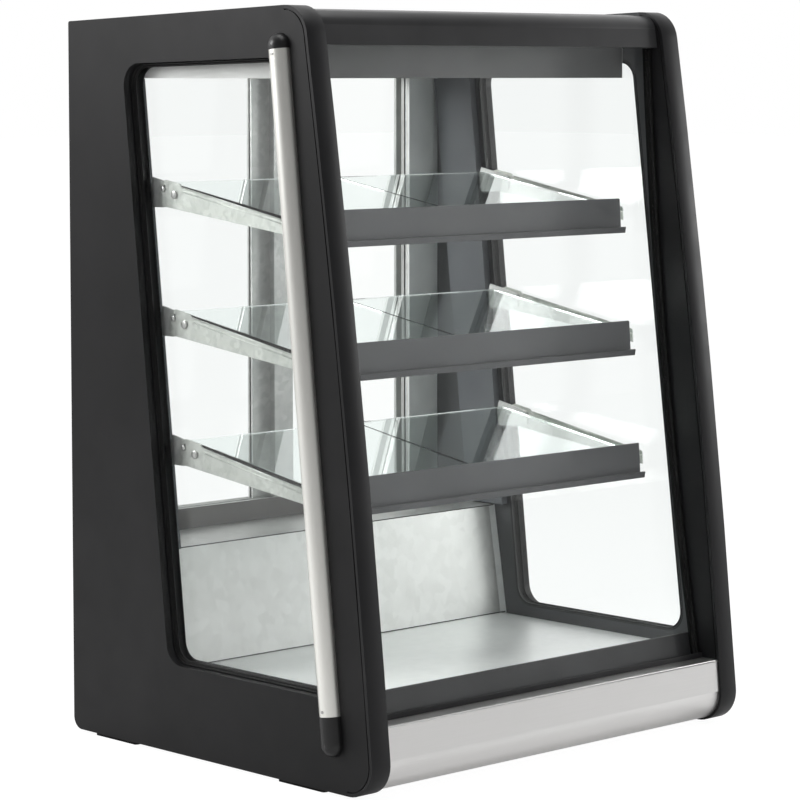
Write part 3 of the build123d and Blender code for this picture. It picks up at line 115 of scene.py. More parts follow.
class Finish:
    """The nodes of one material, or of the world, under construction."""

    def __init__(self, owner):
        self.owner = owner
        owner.use_nodes = True
        self.tree = owner.node_tree
        self.tree.nodes.clear()

    def node(self, kind, settings=None, inputs=None, out=0):
        """Adds a node of a kind, sets it up, feeds its sockets and gives one output."""
        made = self.tree.nodes.new("ShaderNode" + kind)
        for key, value in (settings or {}).items():
            setattr(made, key, value)
        for key, value in (inputs or {}).items():
            if isinstance(value, Socket):
                self.tree.links.new(value.socket, made.inputs[key])
            else:
                made.inputs[key].default_value = value
        return Socket(self, made.outputs[out])

    def place(self):
        """Where a point lies on the piece, in metres."""
        return self.node("TexCoord", out="Object")

    def stretched(self, scale):
        """Object coordinates scaled by a factor along each axis."""
        return self.node("Mapping", {}, {"Vector": self.place(), "Scale": scale})

    def axis(self, name):
        """One Object coordinate by its letter."""
        return self.node("SeparateXYZ", {}, {0: self.place()}, out=name)

    def noise(self, scale, detail=3.0, rough=0.5, where=None):
        """Cloudy noise from 0 to 1, with features 1/scale metres across."""
        inputs = {"Vector": where or self.place(), "Scale": scale, "Detail": detail}
        inputs["Roughness"] = rough
        return self.node("TexNoise", {}, inputs)

    def cells(self, scale, out):
        """Crystal cells 1/scale metres across: their Color, or the Distance to their middles."""
        return self.node("TexVoronoi", {}, {"Vector": self.place(), "Scale": scale}, out=out)

    def blend(self, factor, low, high):
        """A colour that goes from low to high with a factor."""
        inputs = {0: factor, 6: rgba(low), 7: rgba(high)}
        return self.node("Mix", {"data_type": "RGBA"}, inputs, out=2)

    def bump(self, height, distance, strength=1.0):
        """A normal tilted by a height map."""
        inputs = {"Height": height, "Distance": distance, "Strength": strength}
        return self.node("Bump", {}, inputs)

    def peel(self, grain=1500.0):
        """The orange peel of sprayed paint, as a normal; its bumps lie 1/grain metres apart."""
        return self.bump(self.noise(grain, 2.0, 0.6), 0.00003, 0.2)

    def inside(self, reach):
        """1 where a point lies nearer the case's middle plane than a reach in X, else 0."""
        across = self.axis("X")
        return (across * across).spread(reach ** 2, (reach + SKIN_FADE) ** 2, 1.0, 0.0)

    def behind_pane(self):
        """1 behind the front pane's bowed line, 0 ahead of it."""
        height = self.axis("Z")
        offset = (height - PANE_MID_Z) * (1.0 / PANE_HALF_Z)
        bow = (1.0 - offset * offset) * PANE_BOW
        past = self.axis("Y") - (height * PANE_LEAN + PANE_START_Y) - bow
        return past.spread(0.0, EDGE_FADE)

    def surface(self, colour, **sockets):
        """The Principled shader with its sockets by name."""
        inputs = {"Base Color": rgba(colour)}
        inputs.update({key.replace("_", " "): value for key, value in sockets.items()})
        if "Specular" in inputs:
            inputs["Specular IOR Level"] = inputs.pop("Specular")
        if "Coat" in inputs:
            inputs["Coat Weight"] = inputs.pop("Coat")
        return self.node("BsdfPrincipled", {}, inputs)

    def close(self, shader, kind="OutputMaterial"):
        """Ends the nodes with a shader and gives back what they belong to."""
        output = self.tree.nodes.new("ShaderNode" + kind)
        self.tree.links.new(shader.socket, output.inputs["Surface"])
        return self.owner


def rgba(colour):
    """A colour socket's value: a link as it is, or three numbers with full alpha."""
    return colour if isinstance(colour, Socket) else (*colour, 1.0)


def new_finish(name):
    """Starts a material."""
    return Finish(bpy.data.materials.new(name))


# Paint
def powder_coat(name, dark, light, rough=0.42, grain=1500.0):
    """Sprayed satin paint: fine orange peel, and faint cloudiness in tone and gloss."""
    f = new_finish(name)
    cloud = f.noise(9.0, 4.0)
    return f.close(f.surface(
        f.blend(cloud.spread(0.35, 0.65), dark, light),
        Roughness=f.noise(30.0).spread(0.3, 0.7, rough - 0.03, rough + 0.04),
        Specular=0.22,
        Normal=f.peel(grain),
    ))


def panel_paint_lit_inside(name):
    """Black powder coat outside, with painted light on the faces that look into the case: a lighter
    dark grey there stands in for the light they catch.
    """
    f = new_finish(name)
    cloud = f.noise(9.0, 4.0).spread(0.35, 0.65)
    outer = f.blend(cloud, *CASE_BLACK)
    inner = f.blend(cloud, (0.062, 0.064, 0.067), (0.078, 0.08, 0.084))
    return f.close(f.surface(
        # Painted light: the faces inside the case and behind the front pane take the lighter grey
        f.blend(f.inside(PANEL_LIT_SKIN_X) * f.behind_pane(), outer, inner),
        Roughness=f.noise(30.0).spread(0.3, 0.7, 0.42, 0.5),
        Specular=0.22,
        Normal=f.peel(),
    ))


def ceiling_paint(name):
    """Grey paint on the ceiling housing's front, and bare zinc on the ends behind the windows."""
    f = new_finish(name)
    cloud = f.noise(12.0, 4.0)
    tone = cloud.spread(0.35, 0.65)
    paint = f.blend(tone, (0.092, 0.094, 0.094), (0.112, 0.113, 0.113))
    bare = f.blend(tone, (0.5, 0.495, 0.485), (0.58, 0.575, 0.565))
    return f.close(f.surface(
        f.blend(1.0 - f.inside(CEILING_END_X), paint, bare),
        Roughness=cloud.spread(0.3, 0.7, 0.4, 0.5),
        Specular=0.25,
        Normal=f.peel(),
    ))


# Metal
def drawn_metal(name, dark, light, along=2, rough=0.3, streak=900.0):
    """Satin metal drawn or brushed along one axis: fine lines run that way."""
    f = new_finish(name)
    scale = [1.0, 1.0, 1.0]
    scale[along] = LINE_SHARE
    lines = f.noise(streak, 3.0, 0.7, f.stretched(scale))
    tone = lines * 0.6 + f.noise(7.0) * 0.4
    return f.close(f.surface(
        f.blend(tone.spread(0.35, 0.65), dark, light),
        Metallic=1.0,
        Roughness=lines.spread(0.3, 0.7, rough - 0.03, rough + 0.04),
        Normal=f.bump(lines, 0.000005, 0.06),
    ))


def galvanised(name, dark, light, rough=0.36, crystal=70.0, metal=0.85):
    """Zinc-coated sheet: faint crystals of several tones with handling marks."""
    f = new_finish(name)
    flakes = f.node("SeparateColor", {}, {0: f.cells(crystal, "Color")})
    tone = flakes * 0.35 + f.noise(24.0) * 0.65
    scuff = f.noise(260.0, 5.0, 0.75).spread(0.56, 0.72)
    return f.close(f.surface(
        f.blend(tone.spread(0.25, 0.75), dark, light),
        Metallic=metal,
        Roughness=(tone * 0.14 + scuff * 0.1) + rough,
        Normal=f.bump(flakes, 0.00003, 0.25),
    ))


def frame_zinc_painted_light(name):
    """Zinc rear frame, with painted light on the faces that look into the case: a near-white
    painted highlight on the jambs and a dark brown-grey painted shade on the sill.
    """
    f = new_finish(name)
    cloud = f.noise(24.0, 4.0).spread(0.3, 0.7)
    zinc = f.blend(cloud, (0.5, 0.51, 0.5), (0.6, 0.61, 0.595))
    lit_jamb = f.blend(cloud, (0.8, 0.83, 0.82), (0.9, 0.93, 0.92))
    # Painted shade: the sill's face towards the case is darkened
    sill = f.blend(cloud, (0.1, 0.095, 0.09), (0.14, 0.135, 0.13))
    low = f.axis("Z").spread(FRAME_SILL_Z, FRAME_SILL_Z + EDGE_FADE, 1.0, 0.0)
    painted_front_mask = f.axis("Y").spread(FRAME_FACE_Y, FRAME_FACE_Y + SKIN_FADE, 1.0, 0.0)
    return f.close(f.surface(
        # Painted light on the faces towards the case: a painted highlight above the sill's top,
        # painted shade below it
        f.blend(painted_front_mask, zinc, f.blend(low, lit_jamb, sill)),
        Metallic=0.4,
        Roughness=cloud.spread(0.0, 1.0, 0.42, 0.52),
        Normal=f.bump(cloud, 0.00002, 0.2),
    ))


def bare_copper(name):
    """Drawn copper tube with brown stains."""
    f = new_finish(name)
    stain = f.noise(35.0, 5.0, 0.65)
    return f.close(f.surface(
        f.blend(stain.spread(0.4, 0.7), (0.72, 0.33, 0.18), (0.32, 0.13, 0.07)),
        Metallic=1.0,
        Roughness=stain.spread(0.3, 0.7, 0.25, 0.5),
        Normal=f.bump(stain, 0.00003, 0.2),
    ))


# Glass and light
def clear_glass(name, tint, ior=1.22):
    """Float glass that lets lamps through, with its faint green body colour."""
    f = new_finish(name)
    body = f.node("BsdfPrincipled", {}, {
        "Base Color": rgba(tint),
        "Transmission Weight": 1.0,
        "Roughness": 0.0,
        "IOR": ior,
    })
    through = f.node("BsdfTransparent", {}, {"Color": rgba(tint)})
    shadow = f.node("LightPath", out="Is Shadow Ray")
    return f.close(f.node("MixShader", {}, {0: shadow, 1: body, 2: through}))


def glowing(name, colour, strength):
    """An opal lamp's face."""
    f = new_finish(name)
    return f.close(f.surface(
        f.blend(f.noise(40.0), colour, tuple(c * 0.96 for c in colour)),
        Roughness=0.5,
        Emission_Color=rgba(colour),
        Emission_Strength=strength,
    ))


# Rubber, plastic and foam
def rubber(name, colour, rough=0.7):
    """Extruded rubber: matt, with dust in its pores."""
    f = new_finish(name)
    dust = f.noise(420.0, 4.0, 0.7)
    lighter = tuple(c + 0.004 for c in colour)
    return f.close(f.surface(
        f.blend(dust.spread(0.4, 0.75), colour, lighter),
        Roughness=dust.spread(0.3, 0.7, rough - 0.08, rough + 0.08),
        Specular=0.12,
        Normal=f.bump(dust, 0.00005, 0.3),
    ))


def gasket_pair(name):
    """Window gasket: black rubber outside, a grey lip on the side that looks into the case."""
    f = new_finish(name)
    dust = f.noise(420.0, 4.0, 0.7)
    tone = dust.spread(0.4, 0.75)
    outer = f.blend(tone, (0.005, 0.005, 0.005), (0.01, 0.01, 0.01))
    inner = f.blend(tone, (0.09, 0.093, 0.096), (0.12, 0.123, 0.126))
    return f.close(f.surface(
        f.blend(f.inside(GASKET_SKIN_X), outer, inner),
        Roughness=dust.spread(0.3, 0.7, 0.5, 0.62),
        Specular=0.2,
        Normal=f.bump(dust, 0.00005, 0.3),
    ))


def moulded(name, colour, rough=0.45, grain=900.0, coat=0.0):
    """Moulded plastic with a fine spark-eroded grain."""
    f = new_finish(name)
    pebble = f.noise(grain, 3.0, 0.55)
    lighter = tuple(min(1.0, c * 1.25 + 0.004) for c in colour)
    return f.close(f.surface(
        f.blend(f.noise(15.0).spread(0.35, 0.65), colour, lighter),
        Roughness=pebble.spread(0.3, 0.7, rough - 0.05, rough + 0.07),
        Specular=0.4,
        Coat=coat,
        Normal=f.bump(pebble, 0.00004, 0.3),
    ))


def foam_skin(name):
    """Cut insulating foam: pale and pitted."""
    f = new_finish(name)
    pits = f.cells(380.0, "Distance")
    return f.close(f.surface(
        f.blend(pits.spread(0.0, 0.6), (0.55, 0.46, 0.26), (0.8, 0.72, 0.5)),
        Roughness=0.9,
        Normal=f.bump(pits, 0.0004, 0.6),
    ))


# The case's own finishes
# Black panels, with painted light on their inner faces
panel_black_lit_inside = panel_paint_lit_inside("panel black lit inside")
case_black = powder_coat("case black", *CASE_BLACK, 0.46)
band_black = powder_coat("band black", (0.013, 0.013, 0.014), (0.017, 0.0168, 0.018), 0.4)
rail_grey = powder_coat("rail grey", (0.036, 0.036, 0.037), (0.046, 0.046, 0.0475), 0.36)
lip_grey = powder_coat("lip grey", (0.09, 0.092, 0.095), (0.108, 0.11, 0.114), 0.34)
sill_grey = powder_coat("sill grey", (0.022, 0.022, 0.023), (0.032, 0.032, 0.034), 0.4)
upright_slate = powder_coat("upright slate", (0.1, 0.107, 0.115), (0.135, 0.143, 0.152), 0.4)
motor_enamel = powder_coat("motor enamel", (0.016, 0.016, 0.018), (0.026, 0.026, 0.028), 0.3, 300.0)
ceiling_grey = ceiling_paint("ceiling grey")

bar_satin = drawn_metal("satin bar", (0.9, 0.895, 0.85), (0.93, 0.925, 0.88), 2, 0.36)
trim_satin = drawn_metal("satin trim", (0.78, 0.77, 0.76), (0.81, 0.8, 0.79), 0, 0.32)
screw_steel = drawn_metal("screw steel", (0.4, 0.4, 0.39), (0.5, 0.5, 0.49), 0, 0.3, 2500.0)
fin_metal = drawn_metal("fin metal", (0.6, 0.61, 0.62), (0.72, 0.73, 0.74), 2, 0.35)
stile_zinc = galvanised("zinc stile", (0.42, 0.43, 0.42), (0.58, 0.59, 0.575), 0.42, 120.0)
wall_zinc = galvanised("zinc wall", (0.6, 0.61, 0.595), (0.7, 0.71, 0.695), 0.42)
tray_zinc = galvanised("zinc frame", (0.5, 0.51, 0.5), (0.62, 0.63, 0.615), 0.42, 90.0, 0.6)
liner_zinc = galvanised("zinc liner", (0.74, 0.76, 0.75), (0.84, 0.855, 0.845), 0.46, 90.0, 0.4)
deck_steel = galvanised("deck steel", (0.89, 0.9, 0.895), (0.95, 0.955, 0.95), 0.28, 110.0, 0.5)
arm_zinc = galvanised("arm zinc", (0.44, 0.46, 0.43), (0.6, 0.62, 0.585), 0.34, 160.0)
rear_zinc_painted_light = frame_zinc_painted_light("rear zinc painted light")
copper = bare_copper("bare copper")

pane_clear = clear_glass("clear pane", (0.985, 0.995, 0.99))
side_clear = clear_glass("side pane", (0.965, 0.972, 0.97))
shelf_clear = clear_glass("shelf pane", (0.9, 0.965, 0.945), 1.42)
lens_clear = clear_glass("lens", (0.95, 0.96, 0.96))
lamp_opal = glowing("lamp opal", (0.95, 0.96, 0.97), 0.6)

gasket_rubber = rubber("gasket rubber", (0.005, 0.005, 0.005))
foot_rubber = rubber("foot rubber", (0.018, 0.018, 0.018), 0.8)
# Dark bead colour for the painted shade lines at the deck's joint and under the ledge's nose
shade_line_grey = rubber("shade line grey", (0.03, 0.03, 0.028))
window_rubber = gasket_pair("window rubber")
cap_plastic = moulded("cap plastic", (0.005, 0.005, 0.0055), 0.36, coat=0.1)
fan_plastic = moulded("fan plastic", (0.02, 0.02, 0.021), 0.5)
control_plastic = moulded("control plastic", (0.018, 0.018, 0.02), 0.4)
button_plastic = moulded("button plastic", (0.11, 0.115, 0.12), 0.5)
nylon = moulded("nylon", (0.72, 0.71, 0.66), 0.5)
display_tint = moulded("display tint", (0.02, 0.003, 0.003), 0.08, 60.0, 0.6)
foam = foam_skin("foam")

FINISHES = {
    "left_side_panel": panel_black_lit_inside,
    "right_side_panel": panel_black_lit_inside,
    "edge_bands": band_black,
    "side_window_panes": side_clear,
    "side_window_gaskets": window_rubber,
    "trim_bars": bar_satin,
    "trim_bar_caps": cap_plastic,
    "trim_bar_screws": screw_steel,
    "roof_panel": case_black,
    "top_rail": rail_grey,
    "ceiling_housing": ceiling_grey,
    "insulation_foam": foam,
    "lamp_tube": lamp_opal,
    "lamp_lens": lens_clear,
    "front_glass": pane_clear,
    "front_glass_seals": gasket_rubber,
    "front_sill": sill_grey,
    "front_trim": trim_satin,
    "floor_deck": deck_steel,
    "lower_back_wall": wall_zinc,
    "base_tray": tray_zinc,
    "liner_cheeks": liner_zinc,
    "rear_frame": rear_zinc_painted_light,
    "shelf_uprights": upright_slate,
    "hook_plates": tray_zinc,
    "shelf_rivets": screw_steel,
    "compressor": motor_enamel,
    "condenser_coil": fin_metal,
    "condenser_fan": fan_plastic,
    "fan_shroud": tray_zinc,
    "fan_motor": motor_enamel,
    "evaporator_coil": fin_metal,
    "left_evaporator_fan": fan_plastic,
    "right_evaporator_fan": fan_plastic,
    "evaporator_motors": motor_enamel,
    "copper_line": copper,
    "rear_panel": case_black,
    "controller": control_plastic,
    "display_window": display_tint,
    "button_up": button_plastic,
    "button_down": button_plastic,
    "switch_body": control_plastic,
    "switch_rocker": button_plastic,
    "power_inlet": control_plastic,
    "rubber_feet": foot_rubber,
}
for side in ("left", "right"):
    FINISHES[f"{side}_door_frame"] = stile_zinc
    FINISHES[f"{side}_door_glass"] = pane_clear
    FINISHES[f"{side}_door_glides"] = nylon
for number in (1, 2, 3):
    FINISHES[f"shelf_{number}_arms"] = arm_zinc
    FINISHES[f"shelf_{number}_glass"] = shelf_clear
    FINISHES[f"shelf_{number}_rail"] = lip_grey

for node, material in FINISHES.items():
    mesh = NODES[node].data
    mesh.materials.clear()
    mesh.materials.append(material)


# Surface makers
def place_piece(name, points, faces, material, body, slot):
    """Builds a smooth mesh at the origin from points and faces, and fixes it to a body."""
    mesh = bpy.data.meshes.new(name)
    mesh.from_pydata(np.asarray(points, dtype=float).tolist(), [], np.asarray(faces).tolist())
    mesh.materials.append(material)
    mesh.polygons.foreach_set("use_smooth", np.ones(len(mesh.polygons), dtype=bool))
    bm = bmesh.new()
    bm.from_mesh(mesh)
    bmesh.ops.recalc_face_normals(bm, faces=bm.faces)
    bm.to_mesh(mesh)
    bm.free()
    piece = bpy.data.objects.new(name, mesh)
    bpy.context.scene.collection.objects.link(piece)
    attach(piece, body)
    return piece


def grid_faces(rows, columns, wrap_rows=False, wrap_columns=False):
    """Quads between neighbours of a grid of rows x columns points, numbered row by row."""
    r = np.arange(rows if wrap_rows else rows - 1)
    c = np.arange(columns if wrap_columns else columns - 1)
    r, c = (a.ravel() for a in np.meshgrid(r, c, indexing="ij"))
    down, right = (r + 1) % rows, (c + 1) % columns
    quads = [r * columns + c, down * columns + c, down * columns + right, r * columns + right]
    return np.stack(quads, axis=1)


def joined(parts):
    """Several (points, faces) pairs as one pair; faces must all have four corners."""
    starts = np.cumsum([0] + [len(points) for points, _ in parts[:-1]])
    points = np.concatenate([points for points, _ in parts])
    faces = np.concatenate([faces + start for (_, faces), start in zip(parts, starts)])
    return points, faces


def arc(centre, radius, low, high, steps=7):
    """Points on an arc between two angles in degrees: P = centre + radius (cos, sin)."""
    angle = np.radians(np.linspace(low, high, steps))
    return np.asarray(centre) + radius * np.stack([np.cos(angle), np.sin(angle)], axis=1)


def rounded_loop(corners, radius, steps):
    """A closed loop of straight sides and arcs of one radius, with its inward normals.

    At a corner the arc's centre is the corner plus radius times the bisector b of the sides'
    inward normals, scaled so that b . normal = 1. The normal swings from one side's to the
    next with the angle (a spherical blend), and each point is centre - radius * normal."""
    corners = np.asarray(corners)
    following = np.roll(corners, -1, axis=0)
    ahead = following - corners
    ahead /= np.linalg.norm(ahead, axis=1)[:, None]
    behind = np.roll(ahead, 1, axis=0)
    turn = np.sign(np.sum(corners[:, 0] * following[:, 1] - following[:, 0] * corners[:, 1]))
    inward = turn * np.stack([-ahead[:, 1], ahead[:, 0]], axis=1)
    inward_behind = np.roll(inward, 1, axis=0)
    swing = np.arccos(np.clip(np.sum(ahead * behind, axis=1), -1, 1))[:, None, None]
    t = np.linspace(0, 1, steps)[None, :, None]
    from_behind = np.sin((1 - t) * swing) * inward_behind[:, None]
    to_ahead = np.sin(t * swing) * inward[:, None]
    normals = (from_behind + to_ahead) / np.sin(swing)
    bisector = inward + inward_behind
    bisector /= np.sum(bisector * inward, axis=1)[:, None]
    points = (corners + radius * bisector)[:, None] - radius * normals
    return points.reshape(-1, 2), normals.reshape(-1, 2)


def loop_profile(loop, normals, profile, side):
    """A closed profile of (inset, outward X) carried round a loop in the YZ plane:
    P = (side * X, loop + inset * inward normal)."""
    inset, out = np.asarray(profile).T
    yz = loop[:, None] + inset[None, :, None] * normals[:, None]
    x = np.broadcast_to(side * out, yz.shape[:2])
    points = np.concatenate([x[..., None], yz], axis=2).reshape(-1, 3)
    return points, grid_faces(len(loop), len(profile), True, True)


def run_profile(profile, start, end, across, up):
    """A closed profile of (a, b) carried along a straight run with capped ends:
    P = start + t (end - start) + a across + b up."""
    profile = np.asarray(profile)
    section = profile[:, :1] * np.asarray(across) + profile[:, 1:] * np.asarray(up)
    middle = section.mean(axis=0) + 0 * section
    rings = np.stack([middle, section, section, middle])
    along = np.stack([start, start, end, end])[:, None]
    return (along + rings).reshape(-1, 3), grid_faces(4, len(profile), False, True)


def turned(centre, axis, profile, steps):
    """A profile of (radius, height) turned about an axis: P = centre + h axis + r (cos, sin)."""
    axis = np.asarray(axis, dtype=float) / np.linalg.norm(axis)
    helper = np.array([0.0, 0.0, 1.0]) if abs(axis[2]) < 0.9 else np.array([1.0, 0.0, 0.0])
    first = np.cross(axis, helper)
    first /= np.linalg.norm(first)
    second = np.cross(axis, first)
    radius, height = np.asarray(profile, dtype=float).T
    angle = np.linspace(0, 2 * np.pi, steps, endpoint=False)
    ring = np.cos(angle)[:, None] * first + np.sin(angle)[:, None] * second
    points = centre + height[None, :, None] * axis + radius[None, :, None] * ring[:, None]
    return points.reshape(-1, 3), grid_faces(steps, len(profile), True, False)


def at_mm(x, y, z):
    """A place measured in millimetres from the panels' rear edges."""
    return np.array([x * MM, y * MM + REAR_EDGE_Y, z * MM])


# Panels, bands, rails and trim with eased edges
WELD = 0.00002
FLAT_ANGLE = math.radians(0.5)
SHARP_ANGLE = math.radians(40.0)


def eased(node, body, width, material):
    """A copy of a construction piece whose sharp edges are rounded, in its place."""
    mesh = NODES[node].data.copy()
    bm = bmesh.new()
    bm.from_mesh(mesh)
    bmesh.ops.remove_doubles(bm, verts=bm.verts, dist=WELD)
    bmesh.ops.dissolve_limit(bm, angle_limit=FLAT_ANGLE, verts=bm.verts, edges=bm.edges)
    bm.to_mesh(mesh)
    bm.free()
    mesh.materials.clear()
    mesh.materials.append(material)
    piece = bpy.data.objects.new(node + "_eased", mesh)
    bpy.context.scene.collection.objects.link(piece)
    rounding = piece.modifiers.new("rounding", "BEVEL")
    rounding.width = width
    rounding.segments = 2
    rounding.limit_method = "ANGLE"
    rounding.angle_limit = SHARP_ANGLE
    rounding.use_clamp_overlap = True
    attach(piece, body)
    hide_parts(node)


for node, slot, width, material in (
    ("left_side_panel", "case_black", 0.0009, panel_black_lit_inside),
    ("right_side_panel", "case_black", 0.0009, panel_black_lit_inside),
    ("edge_bands", "band_black", 0.0012, band_black),
    ("front_sill", "rail_grey", 0.0007, sill_grey),
    ("front_trim", "stainless", 0.0004, trim_satin),
    ("top_rail", "rail_grey", 0.0006, rail_grey),
):
    eased(node, "case", width, material)

# Window gaskets, as (inset from the opening, distance from the middle plane)
WINDOW_CORNERS = np.array([(-110.5, 871.0), (-409.5, 878.5), (-506.5, 116.0), (-195.0, 116.0)])
WINDOW_R = 28.0
PANES_IN = 299.95
PANES_OUT = 314.05
GROOVE = 3.3
LIP = 5.0
OUTER_BULB = arc((1.2, 318.0), 1.2, 180, 20, 6)
OUTER_LIP = arc((3.4, 315.3), 0.7, 150, 30, 4)
INNER_BEAD = arc((3.1, 299.2), 1.1, 20, 160, 5)
GASKET_PROFILE = np.concatenate([
    [(0.0, 300.2), (0.0, 318.0)],
    OUTER_BULB,
    [(2.5, 316.6), (2.7, 315.2)],
    OUTER_LIP,
    [(4.3, 314.8), (LIP, 314.3), (LIP, PANES_OUT)],
    [(GROOVE, PANES_OUT), (GROOVE, PANES_IN)],
    [(LIP, PANES_IN), (4.9, 299.5)],
    INNER_BEAD,
    [(1.4, 299.9), (0.4, 299.9)],
])
loop, normals = rounded_loop(WINDOW_CORNERS, WINDOW_R, 14)
loop = loop * MM + (REAR_EDGE_Y, 0.0)
gasket_sides = [loop_profile(loop, normals, GASKET_PROFILE * MM, side) for side in (-1, 1)]
gaskets = place_piece("window_gaskets", *joined(gasket_sides), window_rubber, "case", "gasket")
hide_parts("side_window_gaskets")

# The shelves' pivots, their step from shelf to shelf, and their slope
SHELVES = 3
PIVOT_Y = -175.5
PIVOT_Z = 707.0
SHELF_STEP = 18.7
SHELF_PITCH = 163.0
TILT = math.radians(9.5)
SLOPE = np.array([0.0, -math.cos(TILT), -math.sin(TILT)])
SQUARE = np.array([0.0, -math.sin(TILT), math.cos(TILT)])


def on_shelf(index, x, along, over):
    """A place on a shelf: along its slope and over its plane, in millimetres."""
    pivot = at_mm(x, PIVOT_Y - SHELF_STEP * index, PIVOT_Z - SHELF_PITCH * index)
    return pivot + (along * SLOPE + over * SQUARE) * MM


# Rivet heads on the hook plates, as (along, over) places with a radius
RIVET_FACE = 298.1
RIVET_RISE = 1.1
RIVETS = (((0.0, 0.0), 5.2), ((-22.5, 3.0), 3.6))
domes = []
for index in range(SHELVES):
    for side in (-1, 1):
        for (along, over), radius in RIVETS:
            dome = arc((0.0, 0.0), 1.0, 0, 90, 6) * (radius * MM, RIVET_RISE * MM)
            head = on_shelf(index, side * RIVET_FACE, along, over)
            domes.append(turned(head, (side, 0.0, 0.0), dome, 18))
place_piece("rivet_heads", *joined(domes), screw_steel, "case", "screw")

# A rolled bead and a pressed rib along each arm: X, start, end, and the bead's width and height
BEAD = arc((0.0, 0.0), 1.0, 0, 315, 8) * MM
ARM_RIBS = (
    (296.4, (13.0, 11.6), (218.0, 9.1), (1.0, 1.0)),
    (296.2, (16.0, 6.2), (219.0, 4.2), (0.5, 0.7)),
)
for index in range(SHELVES):
    ribs = []
    for side in (-1, 1):
        for x, start, end, size in ARM_RIBS:
            low = on_shelf(index, side * x, *start)
            high = on_shelf(index, side * x, *end)
            ribs.append(run_profile(BEAD * size, low, high, (1.0, 0.0, 0.0), SQUARE))
    name = f"shelf_{index + 1}"
    place_piece(f"{name}_arm_beads", *joined(ribs), arm_zinc, name, "arm_steel")

# Painted shade: thin dark beads along the joint where the deck meets the lower wall, and under the
# ledge's nose
SHADE_LINE_END = 297.0
SHADE_LINES = ((-174.3, 103.2, 0.9), (-150.2, 252.6, 0.7))
shade_lines = []
for y, z, width in SHADE_LINES:
    ends = at_mm(-SHADE_LINE_END, y, z), at_mm(SHADE_LINE_END, y, z)
    shade_lines.append(run_profile(BEAD * width, *ends, (0.0, 1.0, 0.0), (0.0, 0.0, 1.0)))
place_piece("deck_shade_lines", *joined(shade_lines), shade_line_grey, "case", "gasket")

# Louvre hoods in two banks on the rear panel
REAR_FACE = -2.0
BANKS = (-185.0, 185.0)
LOUVRES = 9
LOUVRE_PITCH = 14.0
BANK_Z = 95.0
LOUVRE_HALF = 74.0
HOOD_PROUD = 1.9
HOOD_LIFT = 0.05
HOOD_TOP = 4.2
HOOD_DROP = 6.6
HOOD_SHEET = 0.0007


def louvre_hood(bank, z):
    """One pressed hood over u across -1..1 and v down 0..1: it stands out by
    (1 - u^6) sin(v pi / 2), closed at the ends and open below."""
    across, down = np.meshgrid(np.linspace(-1, 1, 13), np.linspace(0, 1, 7), indexing="ij")
    swell = (1 - across ** 6) * np.sin(down * np.pi / 2)
    x = (bank + across * LOUVRE_HALF) * MM
    y = (REAR_FACE + HOOD_LIFT + HOOD_PROUD * swell) * MM + REAR_EDGE_Y
    height = (z + HOOD_TOP - HOOD_DROP * down) * MM
    return np.stack([x, y, height], axis=2).reshape(-1, 3), grid_faces(*across.shape)


hoods = [
    louvre_hood(bank, BANK_Z + (row - LOUVRES // 2) * LOUVRE_PITCH)
    for bank in BANKS
    for row in range(LOUVRES)
]
louvres = place_piece("louvre_hoods", *joined(hoods), case_black, "case", "case_black")
skin = louvres.modifiers.new("sheet", "SOLIDIFY")
skin.thickness = HOOD_SHEET
skin.offset = -1.0

# Pan-head screws with a socket: on the rear panel and frame, and on the roof
SCREW_HEAD = MM * np.array([
    (3.4, 0.0), (3.3, 0.7), (2.7, 1.3), (1.7, 1.6), (0.9, 1.6), (0.8, 0.8), (0.0, 0.8),
])
SCREW_FACE = -1.98
REAR_SCREW_X = 288.0
PANEL_SCREW_Z = (20.0, 240.0)
FRAME_SCREW_Z = (268.0, 560.0, 850.0, 895.0)
rear_places = [(x, z) for x in (-REAR_SCREW_X, 0.0, REAR_SCREW_X) for z in PANEL_SCREW_Z]
rear_places += [(x, z) for x in (-REAR_SCREW_X, REAR_SCREW_X) for z in FRAME_SCREW_Z]
rear_places.append((0.0, FRAME_SCREW_Z[-1]))
rear_screws = [
    turned(at_mm(x, SCREW_FACE, z), (0.0, 1.0, 0.0), SCREW_HEAD, 16) for x, z in rear_places
]
place_piece("rear_screws", *joined(rear_screws), screw_steel, "case", "screw")

# The roof's rear height, its rise towards the front, and the line square to it
ROOF_REAR_Z = 922.0
ROOF_RISE = 15.5 / 454.6
ROOF_UP = (0.0, 0.034, 1.0)
ROOF_SCREW_X = 285.0
ROOF_SCREW_Y = (-14.0, -390.0)
roof_screws = [
    turned(at_mm(x, y, ROOF_REAR_Z - ROOF_RISE * y), ROOF_UP, SCREW_HEAD, 16)
    for x in (-ROOF_SCREW_X, 0.0, ROOF_SCREW_X)
    for y in ROOF_SCREW_Y
]
place_piece("roof_screws", *joined(roof_screws), screw_steel, "case", "screw")


# Studio
WHITE = (1.0, 1.0, 1.0)

# The floor's reach, the share of it that shows plain white, that white's strength, and how
# much of the share mirrors get; the rest of the floor takes light and shadow
FLOOR_HALF = 30.0
FLOOR_SHARE = 0.86
FLOOR_SHOWN = 1.12
FLOOR_MIRRORED = 0.25

# The room's strength ahead of the case and behind it, how far its light side is turned to
# the right, and the span over which it goes from dark to light
ROOM_DARK = 0.2
ROOM_LIGHT = 1.1
ROOM_TURN = 0.5
ROOM_SPAN = (-0.3, 0.8)


def softbox(name, at, toward, size, power):
    """A rectangular area lamp aimed at a point."""
    lamp = bpy.data.lights.new(name, "AREA")
    lamp.shape = "RECTANGLE"
    lamp.size, lamp.size_y = size
    lamp.energy = power
    holder = bpy.data.objects.new(name, lamp)
    bpy.context.scene.collection.objects.link(holder)
    holder.location = at
    holder.rotation_euler = (Vector(toward) - Vector(at)).to_track_quat("-Z", "Y").to_euler()


def seen_rays(f):
    """1 on rays that show a background: to the camera and through glass."""
    shown = f.node("LightPath", out="Is Camera Ray")
    return shown.most(f.node("LightPath", out="Is Transmission Ray"))


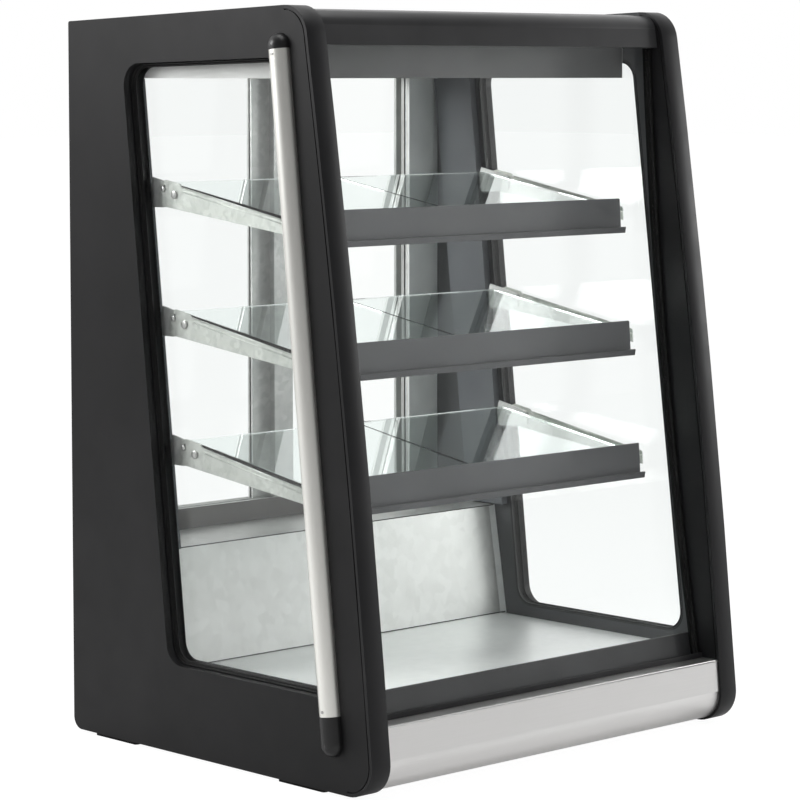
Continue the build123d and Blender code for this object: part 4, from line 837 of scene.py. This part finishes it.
def studio_floor():
    """A white floor that runs past the view on all sides and keeps the case's shadow."""
    half = FLOOR_HALF
    corners = [(-half, -half, 0.0), (half, -half, 0.0), (half, half, 0.0), (-half, half, 0.0)]
    mesh = bpy.data.meshes.new("studio floor")
    mesh.from_pydata(corners, [], [(0, 1, 2, 3)])
    floor = bpy.data.objects.new("studio_floor", mesh)
    bpy.context.scene.collection.objects.link(floor)
    f = new_finish("studio floor")
    lit = f.surface((0.9, 0.9, 0.9), Roughness=0.9, Specular=0.0)
    shown = f.node("Emission", {}, {"Color": rgba(WHITE), "Strength": FLOOR_SHOWN})
    mirrored = f.node("LightPath", out="Is Glossy Ray") * FLOOR_MIRRORED
    share = seen_rays(f).most(mirrored) * FLOOR_SHARE
    mesh.materials.append(f.close(f.node("MixShader", {}, {0: share, 1: lit, 2: shown})))


def studio_world():
    """White behind everything that is seen; the room ahead of the case mirrors darker."""
    world = bpy.data.worlds.new("studio")
    bpy.context.scene.world = world
    f = Finish(world)
    toward = f.node("TexCoord", out="Generated")
    back = f.node("SeparateXYZ", {}, {0: toward}, out="Y")
    right = f.node("SeparateXYZ", {}, {0: toward}, out="X")
    room = (back + right * ROOM_TURN).spread(*ROOM_SPAN, ROOM_DARK, ROOM_LIGHT)
    direct = seen_rays(f)
    strength = direct + (1.0 - direct) * room
    light = f.node("Background", {}, {"Color": rgba(WHITE), "Strength": strength})
    f.close(light, "OutputWorld")


studio_world()
studio_floor()
softbox("side", at=(-1.5, 1.15, 1.45), toward=(-0.33, 0.0, 0.8), size=(0.9, 0.7), power=19.0)
softbox("right", at=(2.1, -1.0, 0.85), toward=(0.3, -0.1, 0.3), size=(0.9, 0.7), power=12.0)
softbox("top", at=(0.0, -0.2, 2.8), toward=(0.0, 0.0, 0.5), size=(1.8, 1.8), power=30.0)

# The photograph's view, with angles in degrees
CAMERA_AT = (-2.7285, -2.8512, 0.8581)
LOOK_RIGHT = 43.61
LOOK_DOWN = 4.63
LENS = 136.6
SENSOR = 36.0
SHIFT_UP = -0.1
camera_data = bpy.data.cameras.new("camera")
camera_data.lens = LENS
camera_data.sensor_width = SENSOR
camera_data.shift_y = SHIFT_UP
camera_data.clip_end = 100.0
camera = bpy.data.objects.new("camera", camera_data)
bpy.context.scene.collection.objects.link(camera)
camera.location = CAMERA_AT
camera.rotation_euler = (math.radians(90.0 - LOOK_DOWN), 0.0, math.radians(-LOOK_RIGHT))
bpy.context.scene.camera = camera
bpy.context.scene.view_settings.view_transform = "Standard"
